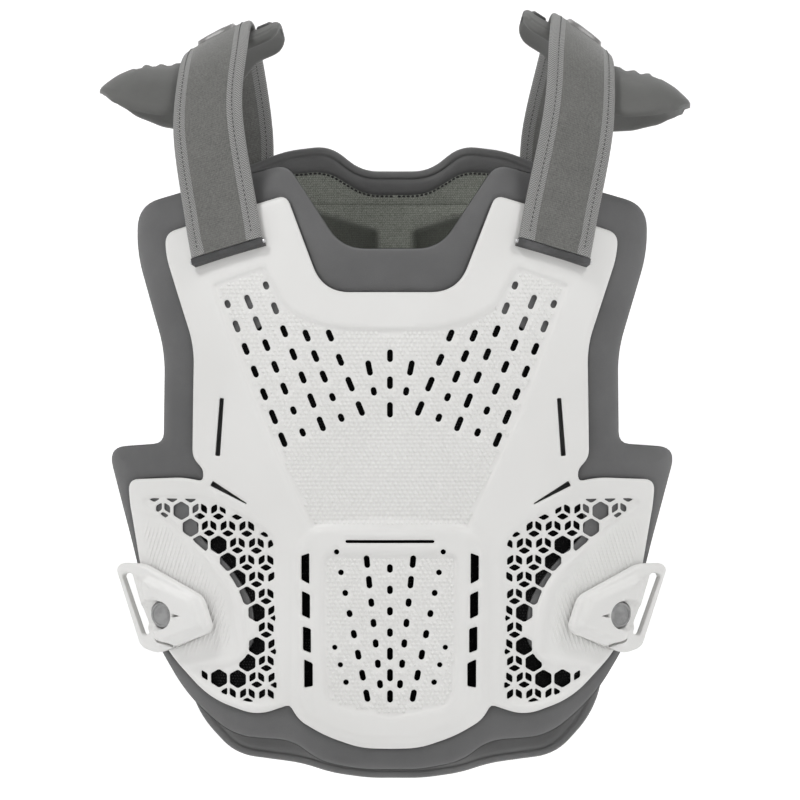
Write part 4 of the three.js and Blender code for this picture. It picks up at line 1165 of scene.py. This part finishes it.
def stitches(name, paths, pitch, length, radius, finish, slot):
    """Rows of raised stitches along paths of points in millimetres."""
    parts = []
    for path in paths:
        steps = np.linalg.norm(np.diff(path, axis=0), axis=1)
        along = np.concatenate([[0], np.cumsum(steps)])
        for start in np.arange(pitch / 2, along[-1] - length, pitch):
            ends = np.column_stack([np.interp((start, start + length), along, path[:, i]) for i in range(3)])
            way = (ends[1] - ends[0]) / max(np.linalg.norm(ends[1] - ends[0]), 1e-9)
            side = np.cross(way, (0.31, 0.17, 0.94))
            side /= np.linalg.norm(side)
            up = np.cross(side, way)
            rings = []
            for share, thick in ((0, 0.35), (0.22, 0.95), (0.78, 0.95), (1, 0.35)):
                middle = ends[0] + (ends[1] - ends[0]) * share
                turns = [k * tau / 5 for k in range(5)]
                rings.append([middle + radius * thick * (side * cos(t) + up * sin(t)) for t in turns])
            parts.append(lofted(rings))
    piece(name, *joined(parts), slot, finish, sharp=80)


# Straps, caps and bars

def curve_point(points, t):
    """A point of the centripetal curve through the points, t from 0 to 1."""
    last = len(points) - 1
    place = last * min(max(t, 0), 1)
    i = min(int(place), last - 1)
    w = place - i
    p1, p2 = points[i], points[i + 1]
    p0 = points[i - 1] if i > 0 else 2 * points[0] - points[1]
    p3 = points[i + 2] if i + 2 <= last else 2 * points[last] - points[last - 1]
    gaps = [np.linalg.norm(b - a) ** 0.5 for a, b in ((p0, p1), (p1, p2), (p2, p3))]
    d1 = gaps[1] if gaps[1] > 1e-4 else 1
    d0, d2 = (g if g > 1e-4 else d1 for g in (gaps[0], gaps[2]))
    t1 = ((p1 - p0) / d0 - (p2 - p0) / (d0 + d1) + (p2 - p1) / d1) * d1
    t2 = ((p2 - p1) / d1 - (p3 - p1) / (d1 + d2) + (p3 - p2) / d2) * d1
    return p1 + t1 * w + (-3 * p1 + 3 * p2 - 2 * t1 - t2) * w**2 + (2 * p1 - 2 * p2 + t1 + t2) * w**3


def unit(v):
    return v / np.linalg.norm(v)


def seat_on(panel, shell_face, place):
    """A point on a panel's shell, and the ways out of it, inwards and upwards."""
    x, z = spot(panel, *place)
    step = 0.5
    slope_x = (face_of(panel, x + step, z) - face_of(panel, x - step, z)) / (2 * step)
    slope_z = (face_of(panel, x, z + step) - face_of(panel, x, z - step)) / (2 * step)
    outwards = unit(panel["towards"] * np.array((slope_x, -1, slope_z)))
    inwards = unit(np.array((-1, -slope_x, 0)))
    upwards = panel["towards"] * np.cross(inwards, outwards)
    return np.array((x, face_of(panel, x, z) + shell_face, z)), outwards, inwards, upwards


def strap_foot(panel, shell_face, place):
    point, outwards, inwards, upwards = seat_on(panel, shell_face, place)
    roll = radians(FOOT_ROLL)
    width = inwards * cos(roll) + upwards * sin(roll)
    leaving = upwards * cos(roll) - inwards * sin(roll)
    return point + outwards * (SEAT_GAP + STRAP_THICK / 2), width, leaving, outwards


class Route:
    """The way a strap runs over the shoulder, on the right side."""

    def __init__(self, side):
        base = CAP_THICK + CAP_GAP + STRAP_THICK / 2 - ARCH_RISE
        ends = []
        for panel in (FRONT, BACK):
            outer = 0 if panel["towards"] > 0 else FOAM
            ends.append(float(face_of(panel, SHOULDER, base)) + outer - panel["towards"] * STRAP_LIFT)
        centre, depth = (ends[0] + ends[1]) / 2, (ends[1] - ends[0]) / 2
        middles, widths = [], []
        for turn, across, tilt, lead in ARCH:
            share = cos(radians(turn))
            slope = radians(tilt + share * TILT[side])
            level = cos(slope)
            x = across * SHOULDER + share * SWAY[side] * STRAP_WIDTH
            y = centre + depth * sin(radians(turn))
            middles.append(np.array((x, y, base + share * ARCH_RISE * RISE[side])))
            widths.append(np.array((-level * cos(radians(lead)), level * sin(radians(lead)), sin(slope))))
        self.front = strap_foot(FRONT, FRONT_SHELL_FACE, FRONT_STRAP_PLACE)
        self.back = strap_foot(BACK, BACK_SHELL_FACE, BACK_STRAP_PLACE)
        for foot, order in ((self.front, 1), (self.back, -1)):
            some = [foot[0], foot[0] + foot[2] * SEAT_RUN][::order]
            middles = some + middles if order > 0 else middles + some
            widths = [foot[1]] * 2 + widths if order > 0 else widths + [foot[1]] * 2
        self.middles, self.widths = middles, widths
        steps = [np.linalg.norm(b - a) for a, b in zip(middles, middles[1:])]
        self.crest = sum(steps[:4]) / sum(steps)
        self.fine = np.linspace(0, 1, 401)
        line = np.array([curve_point(middles, t) for t in self.fine])
        self.lengths = np.concatenate([[0], np.cumsum(np.linalg.norm(np.diff(line, axis=0), axis=1))])
        self.length = self.lengths[-1]

    def frame(self, share):
        """The middle of the strap, the way its width runs inwards and the way out of its face."""
        t = float(np.interp(share * self.length, self.lengths, self.fine))
        middle = curve_point(self.middles, t)
        step = 1e-4
        tangent = unit(curve_point(self.middles, t + step) - curve_point(self.middles, t - step))
        width = unit(curve_point(self.widths, t))
        return middle, width, unit(np.cross(tangent, width))

    def beside(self, share, outwards, above):
        middle, width, normal = self.frame(share)
        return middle - width * outwards + normal * above

    def near_crest(self, distance, outwards, above):
        return self.beside(self.crest + distance / self.length, outwards, above)


def swept(route, profile, steps, shares=(0, 1), squeeze=None):
    """A skin whose closed profile of (outwards, above) runs along the route, with each point's
    place on its cloth."""
    rings, cloth = [], []
    sides = np.linalg.norm(np.diff(profile, axis=0), axis=1)
    around = np.concatenate([[0], np.cumsum(sides)])
    for share in np.linspace(*shares, steps + 1):
        middle, width, normal = route.frame(share)
        thin = squeeze(share) if squeeze else 1
        rings.append([middle - width * out + normal * above * thin for out, above in profile])
        cloth += [(a, share * route.length, 0) for a in around]
    points, faces = lofted(rings)
    cloth += [(around[-1] / 2, share * route.length, 0) for share in shares]
    return points, faces, cloth


def mirror(points, sign):
    return np.asarray(points) * (sign, 1, 1)


def strap_profile():
    """The padded middle of the strap: crowned on both faces, with its edges drawn in."""
    half = STRAP_WIDTH / 2
    top = []
    for x in np.linspace(-1, 1, 13):
        top.append((x * (half + 0.2), STRAP_THICK / 2 * (1 - EDGE_FALL * abs(x) ** 3)))
    return top + [(x, -y) for x, y in reversed(top)]


def binding_profile(sign):
    """A tape folded over the strap's edge: flat on both faces and round at the fold."""
    near, far = STRAP_WIDTH / 2 - BINDING_LAP, STRAP_WIDTH / 2 + SEAT_GAP + BINDING_WIDTH
    half = BINDING_THICK / 2
    fold = [(far - half + half * sin(a), half * cos(a)) for a in np.linspace(0, pi, 9)]
    ring = [(near, half + 0.35), (near + 0.5, half + 0.6), (near + 3, half + 0.5), *fold]
    ring += [(near + 3, -half - 0.5), (near + 0.5, -half - 0.6), (near, -half - 0.35)]
    ring += [(near - 0.05, -half + 0.5), (near - 0.05, half - 0.5)]
    return [(sign * x, y) for x, y in ring]


def strap_ends(share):
    """The strap is pressed flat where its ends are welded under the bars."""
    return 1 - 0.22 * (1 - smooth(min(share, 1 - share) / 0.03))


def shoulder(side, sign):
    """One side's strap, with its edge tapes, badge, cap and pins."""
    route = Route(side)
    points, faces, cloth = swept(route, strap_profile(), 170, squeeze=strap_ends)
    points, node = mirror(points, sign), f"strap_{side}"
    strap = piece(f"strap_pad_{side}", points, faces, "strap_fabric", STRAP_CLOTH, [node], 60, cloth)
    rows = []
    for edge, way in (("inner", -1), ("outer", 1)):
        points, faces, cloth = swept(route, binding_profile(way), 170)
        points, node = mirror(points, sign), f"strap_binding_{edge}_{side}"
        piece(f"edge_tape_{edge}_{side}", points, faces, "binding_tape", TAPE, [node], 60, cloth)
        for lift in (1, -1):
            out, above = way * (STRAP_WIDTH / 2 + 0.6), lift * (BINDING_THICK / 2 + 0.58)
            rows.append([route.beside(share, out, above) for share in np.linspace(0.01, 0.99, 200)])
    paths = [mirror(row, sign) for row in rows]
    stitches(f"tape_stitches_{side}", paths, 3, 1.7, 0.3, TAPE_THREAD, "binding_tape")
    badge(side, sign, route)
    cap(side, sign, route)
    for name, foot in (("front", route.front), ("back", route.back)):
        bar_ends(f"bar_{name}_{side}", sign, foot)


def soft_square(half_width, half_length, power, count):
    """A ring of points round a rectangle with well rounded corners."""
    ring = []
    for k in range(count):
        c, s = cos(k * tau / count), sin(k * tau / count)
        ring.append((half_width * abs(c) ** power * np.sign(c), half_length * abs(s) ** power * np.sign(s)))
    return ring


def badge(side, sign, route):
    """A plain domed rubber pad on the strap's crest, with a groove inside its rim."""
    rings = []
    for share in (1.0, 0.985, 0.93, 0.88, 0.85, 0.5, 0.02):
        height = STRAP_THICK / 2 + SEAT_GAP - 0.2 + 1.9 * smooth((1 - share) / 0.07) + 0.2 * (1 - share)
        if 0.86 < share < 0.9:
            height -= PATCH_GROOVE
        ring = []
        for x, y in soft_square(BADGE_HALF[0] * share, BADGE_HALF[1] * share, 0.45, 64):
            sag = STRAP_THICK / 2 * EDGE_FALL * abs(x / (STRAP_WIDTH / 2)) ** 3
            ring.append(route.near_crest(y, x, height - sag))
        rings.append(ring)
    points, faces = lofted(rings)
    points, node = mirror(points, sign), f"strap_badge_{side}"
    piece(f"strap_pad_badge_{side}", points, faces, "trim_rubber", BADGE_RUBBER, [node])


def cap_station(out):
    """The cap's half length, thickness and top at a distance outwards from the strap's middle."""
    stations = np.array(CAP_STATIONS)
    sides = np.where(stations[:, 0] > 0, CAP_REACH, CAP_TAB)
    reach = stations[:, 0] * sides
    length, thick = (np.interp(out, reach, stations[:, k]) for k in (1, 2))
    sink = np.interp(out, reach, stations[:, 3] * sides)
    return length * CAP_HALF, thick * CAP_THICK, -STRAP_THICK / 2 - CAP_GAP - sink


def cap(side, sign, route):
    """The moulded cap under the strap: a rounded rim, three dents across its outer half, and a tab."""
    tab = np.linspace(-CAP_TAB, -CAP_TAB + 4, 5)
    tip = np.linspace(CAP_REACH - 6.5, CAP_REACH, 7)
    outs = np.concatenate([tab, np.linspace(-CAP_TAB + 5.5, CAP_REACH - 8, 58), tip])
    blur = [(-2.5, 0.25), (0, 0.5), (2.5, 0.25)]
    rings = []
    shares = np.linspace(-1, 1, 31)
    beside_strap = STRAP_WIDTH / 2 + BINDING_WIDTH
    for out in outs:
        samples = [np.array(cap_station(min(max(out + d, -CAP_TAB), CAP_REACH))) * w for d, w in blur]
        half, thick, top = sum(samples)
        end = min(out + CAP_TAB, CAP_REACH - out)
        shut = sqrt(max(1 - max(1 - end / 3.5, 0) ** 2, 0.02))
        upper, lower = [], []
        for share in shares:
            reach = np.sign(share) * (1 - (1 - abs(share)) ** 1.3)
            along = reach * half
            rim = sqrt(max(1 - max(1 - (half - abs(along)) / 4.5, 0) ** 2, 0.004)) * shut
            dent = DENT_DEPTH * sum(bump_at(out - at - along * 0.12, 2.6) for at in DENTS)
            dent *= smooth((19 - abs(along + 15)) / 7)
            groove = 1.1 * bump_at(half - abs(along) - 4.6, 0.9) * (abs(out) > beside_strap)
            middle = top - thick / 2
            upper.append(route.near_crest(along, out, middle + (thick / 2 - dent - groove) * rim))
            lower.append(route.near_crest(along, out, middle - thick / 2 * rim))
        rings.append(upper + lower[::-1])
    points, faces = lofted(rings)
    points, node = mirror(points, sign), f"shoulder_cap_{side}"
    made = piece(f"cap_pad_{side}", points, faces, "cap_foam", CAP_GREY, [node], 60)
    tab_patch(side, sign, route)


def tab_patch(side, sign, route):
    """A plain rubber patch on the cap's tab, with a groove inside its rim."""
    rings = []
    inwards = STRAP_WIDTH / 2 + SEAT_GAP + BINDING_WIDTH + SEAT_GAP + PATCH_HALF[0]
    for share in (1.0, 0.97, 0.9, 0.84, 0.8, 0.4, 0.02):
        rise = SEAT_GAP - 0.2 + 1.3 * smooth((1 - share) / 0.08)
        if 0.82 < share < 0.95:
            rise -= PATCH_GROOVE
        ring = []
        for x, y in soft_square(PATCH_HALF[0] * share, PATCH_HALF[1] * share, 0.5, 48):
            ring.append(route.near_crest(y, x - inwards, cap_station(x - inwards)[2] + rise))
        rings.append(ring)
    points, faces = lofted(rings)
    piece(f"cap_tab_patch_{side}", mirror(points, sign), faces, "trim_rubber", RUBBER, [f"cap_patch_{side}"])


def round_solid(profile, sides):
    """Points and faces of a solid turned about the local Z axis, from rows of radius and height."""
    rings = [
        [(radius * cos(k * tau / sides), radius * sin(k * tau / sides), height) for k in range(sides)]
        for radius, height in profile
    ]
    return lofted(rings)


def placed(points, middle, right, up, out):
    points = np.asarray(points, float)
    return middle + points[:, :1] * right + points[:, 1:2] * up + points[:, 2:] * out


def bar_ends(name, sign, foot):
    """The bright heads of the pin that runs through a strap's bar."""
    middle, _, leaving, outwards = foot
    sideways = np.cross(leaving, outwards)
    parts = []
    for way in (1, -1):
        points, faces = round_solid(PIN_HEAD, 16)
        at = middle - leaving * (SEAT_GAP + BAR / 2)
        at = at + sideways * way * (STRAP_WIDTH / 2 + BINDING_WIDTH + 0.9)
        parts.append((placed(points, at, leaving, outwards * way, sideways * way), faces))
    points, faces = joined(parts)
    piece(f"pin_heads_{name}", mirror(points, sign), faces, "stud_plastic", PIN_STEEL)


# Buckles

def buckle_ring(rows, radius, step):
    return rounded([(out * BUCKLE_HALF[0], up * BUCKLE_HALF[1], radius) for out, up in rows], step)


def webbing_slot():
    """The tall slot along the buckle's outer edge, narrower towards its foot."""
    top, foot = (np.array(c) * BUCKLE_HALF for c in BUCKLE_OUTLINE[:2])
    way = unit(foot - top)
    inwards = np.array((way[1], -way[0]))
    rows = ((5.2, 3.6, 1.2), (5.2, 11.8, 4), (46.5, 10.6, 0.8), (46.5, 5, 2.5))
    return rounded([(*(top + way * down + inwards * across), radius) for down, across, radius in rows], 1.3)


def release_slit():
    middle = np.array((-0.04, -0.56)) * BUCKLE_HALF
    return slot_ring(middle, pi / 2 + radians(20), 1.9, 15)


def buckle(side, sign):
    """One side's buckle, with a crown, a dish, a crease and its stud."""
    point, outwards, inwards, _ = seat_on(FRONT, FRONT_SHELL_FACE, BUCKLE_PLACE)
    right = -inwards
    up = np.cross(outwards, right)
    middle = point + outwards * BUCKLE_GAP
    outline = buckle_ring(BUCKLE_OUTLINE, 5, 1.2)
    crown = buckle_ring(BUCKLE_CROWN, 4, 1.5)
    hole, wedge, dish = circle(0, 0, KEYHOLE, 44), rounded(WEDGE, 0.8), rounded(DISH, 1.2)
    slot, slit = webbing_slot(), release_slit()
    guides = offsets(outline, 0.4, 1, 1.8, 3) + offsets(hole, -0.4, -1) + offsets(crown, -2.5, -0.5, 1.5)
    guides += offsets(dish, -RIM, 0.6, 1.6, 3)
    guides += [offset_ring(ring, -0.6) for ring in (slot, slit, wedge)]
    rim_tree = tree_of(np.concatenate([slot, slit, wedge]))
    crease = np.array(CREASE)

    def height(flat):
        top = BUCKLE_PLATE + (BUCKLE_TOP - BUCKLE_PLATE) * smooth((depth_in(flat, crown) + 2.5) / 4.5)
        above = flat[:, 1] > np.interp(flat[:, 0], crease[::-2, 0], crease[::-2, 1])
        top += 0.8 * smooth(1 - edge_distance(flat, crease) / 5) * above
        top -= 0.6 * bump_at(edge_distance(flat, crease), 0.6)
        top -= DISH_DEPTH * smooth((20 - flat[:, 0]) / 13) * stepped(depth_in(flat, dish), 3.2)
        top -= rounded_edge(flat, outline, 2.6, 1.9)
        return top - 0.5 * np.clip(1 - gaps_to(rim_tree, flat) / 0.6, 0, 1)

    flat, faces, loops = filled(outline, [hole, wedge, slot, slit], guides, 1.5)
    count = len(flat)
    tops = height(flat)
    points = np.concatenate([np.column_stack((flat, 0 * tops)), np.column_stack((flat, tops))])
    every = [(a, c, b) for a, b, c in faces] + [(a + count, b + count, c + count) for a, b, c in faces]
    for loop in loops:
        every += [(a, b, b + count, a + count) for a, b in zip(loop, loop[1:] + loop[:1])]
    points, node = mirror(placed(points, middle, right, up, outwards), sign), f"side_buckle_{side}"
    piece(f"buckle_plate_{side}", points, every, "shell_plastic", SHELL_WHITE, [node], 50)
    points, faces = round_solid(STUD_HEAD, 48)
    points = mirror(placed(points, middle, right, up, outwards), sign)
    piece(f"stud_head_{side}", points, faces, "stud_plastic", STUD_GREY, [f"buckle_stud_{side}"])


# Building

def add_camera():
    data = bpy.data.cameras.new("camera")
    data.lens, data.sensor_width = 129.6, 36
    made = bpy.data.objects.new("camera", data)
    data.shift_x = -0.0562
    made.location = (0.034, -1.9, -0.223)
    made.rotation_euler = (pi / 2, 0, 0)
    bpy.context.scene.collection.objects.link(made)
    bpy.context.scene.camera = made


def add_light(name, place, size, power):
    data = bpy.data.lights.new(name, "AREA")
    data.shape, data.size, data.energy = "DISK", size, power
    made = bpy.data.objects.new(name, data)
    made.location = place
    made.rotation_euler = (Vector((0, 0, -0.22)) - Vector(place)).to_track_quat("-Z", "Y").to_euler()
    bpy.context.scene.collection.objects.link(made)


def add_studio():
    """A round pale floor that curves up into a wall, a white sky and soft lights. The floor and wall
    glow as painted light, dim in front and full white at the back.
    """
    rows = [(0.001, -0.75), (2.6, -0.75)]
    rows += [(2.6 + 1.2 * sin(a), 0.45 - 1.2 * cos(a)) for a in np.linspace(0.15, pi / 2, 9)] + [(3.8, 2.4)]
    rings = [[(r * cos(k * tau / 96), r * sin(k * tau / 96), z) for k in range(96)] for r, z in rows]
    points, faces = lofted(rings, closed_ends=False)
    mesh = bpy.data.meshes.new("studio_floor")
    mesh.from_pydata(points.tolist(), [], faces)
    mesh.shade_smooth()
    floor = bpy.data.objects.new("studio_floor", mesh)
    bpy.context.scene.collection.objects.link(floor)
    f = Finish("studio_pale", Specular_IOR_Level=0.1, Emission_Strength=0.4)
    split = f.nodes.new("ShaderNodeSeparateXYZ")
    f.links.new(f.place(), split.inputs[0])
    behind = Value(f, split.outputs[1]).between(-1, 2.4)
    f.feed(Base_Color=(0.9, 0.9, 0.9, 1), Roughness=0.9)
    # Painted light: the floor's glow grows from dim in front to full white at the back wall.
    f.feed(Emission_Color=f.tint(behind, (0.28, 0.28, 0.28), (1, 1, 1)))
    mesh.materials.append(f.material)
    world = bpy.data.worlds.new("white_sky")
    world.use_nodes = True
    world.node_tree.nodes["Background"].inputs[0].default_value = (1, 1, 1, 1)
    world.node_tree.nodes["Background"].inputs[1].default_value = 0.2
    bpy.context.scene.world = world
    add_light("key_left", (-1.5, -1.2, 2.3), 0.8, 30)
    add_light("key_right", (1.6, -1.2, 1.9), 0.8, 18)
    add_light("front_low", (0.2, -2.4, -0.3), 1.2, 0.6)
    add_light("top_back", (0, 1.2, 1.8), 1.3, 9)
    bpy.context.scene.view_settings.view_transform = "Standard"


def finish_bars():
    """The strap bars are the solids themselves, with their finish and rounded edges."""
    for side, _ in SIDES:
        for end in ("front", "back"):
            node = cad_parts[f"strap_bar_{end}_{side}"]
            for place in node.material_slots:
                place.material = RUBBER
            bevel = node.modifiers.new("rounded_edges", "BEVEL")
            bevel.width, bevel.segments = 0.9 * MM, 3


add_camera()
add_studio()
shell_forms = front_shell()
stud_grain(*shell_forms)
pad_ribs(*shell_forms)
front_foam()
front_liner()
back_foam()
back_lining()
back_shell()
for side_name, side_sign in SIDES:
    shoulder(side_name, side_sign)
    buckle(side_name, side_sign)
finish_bars()
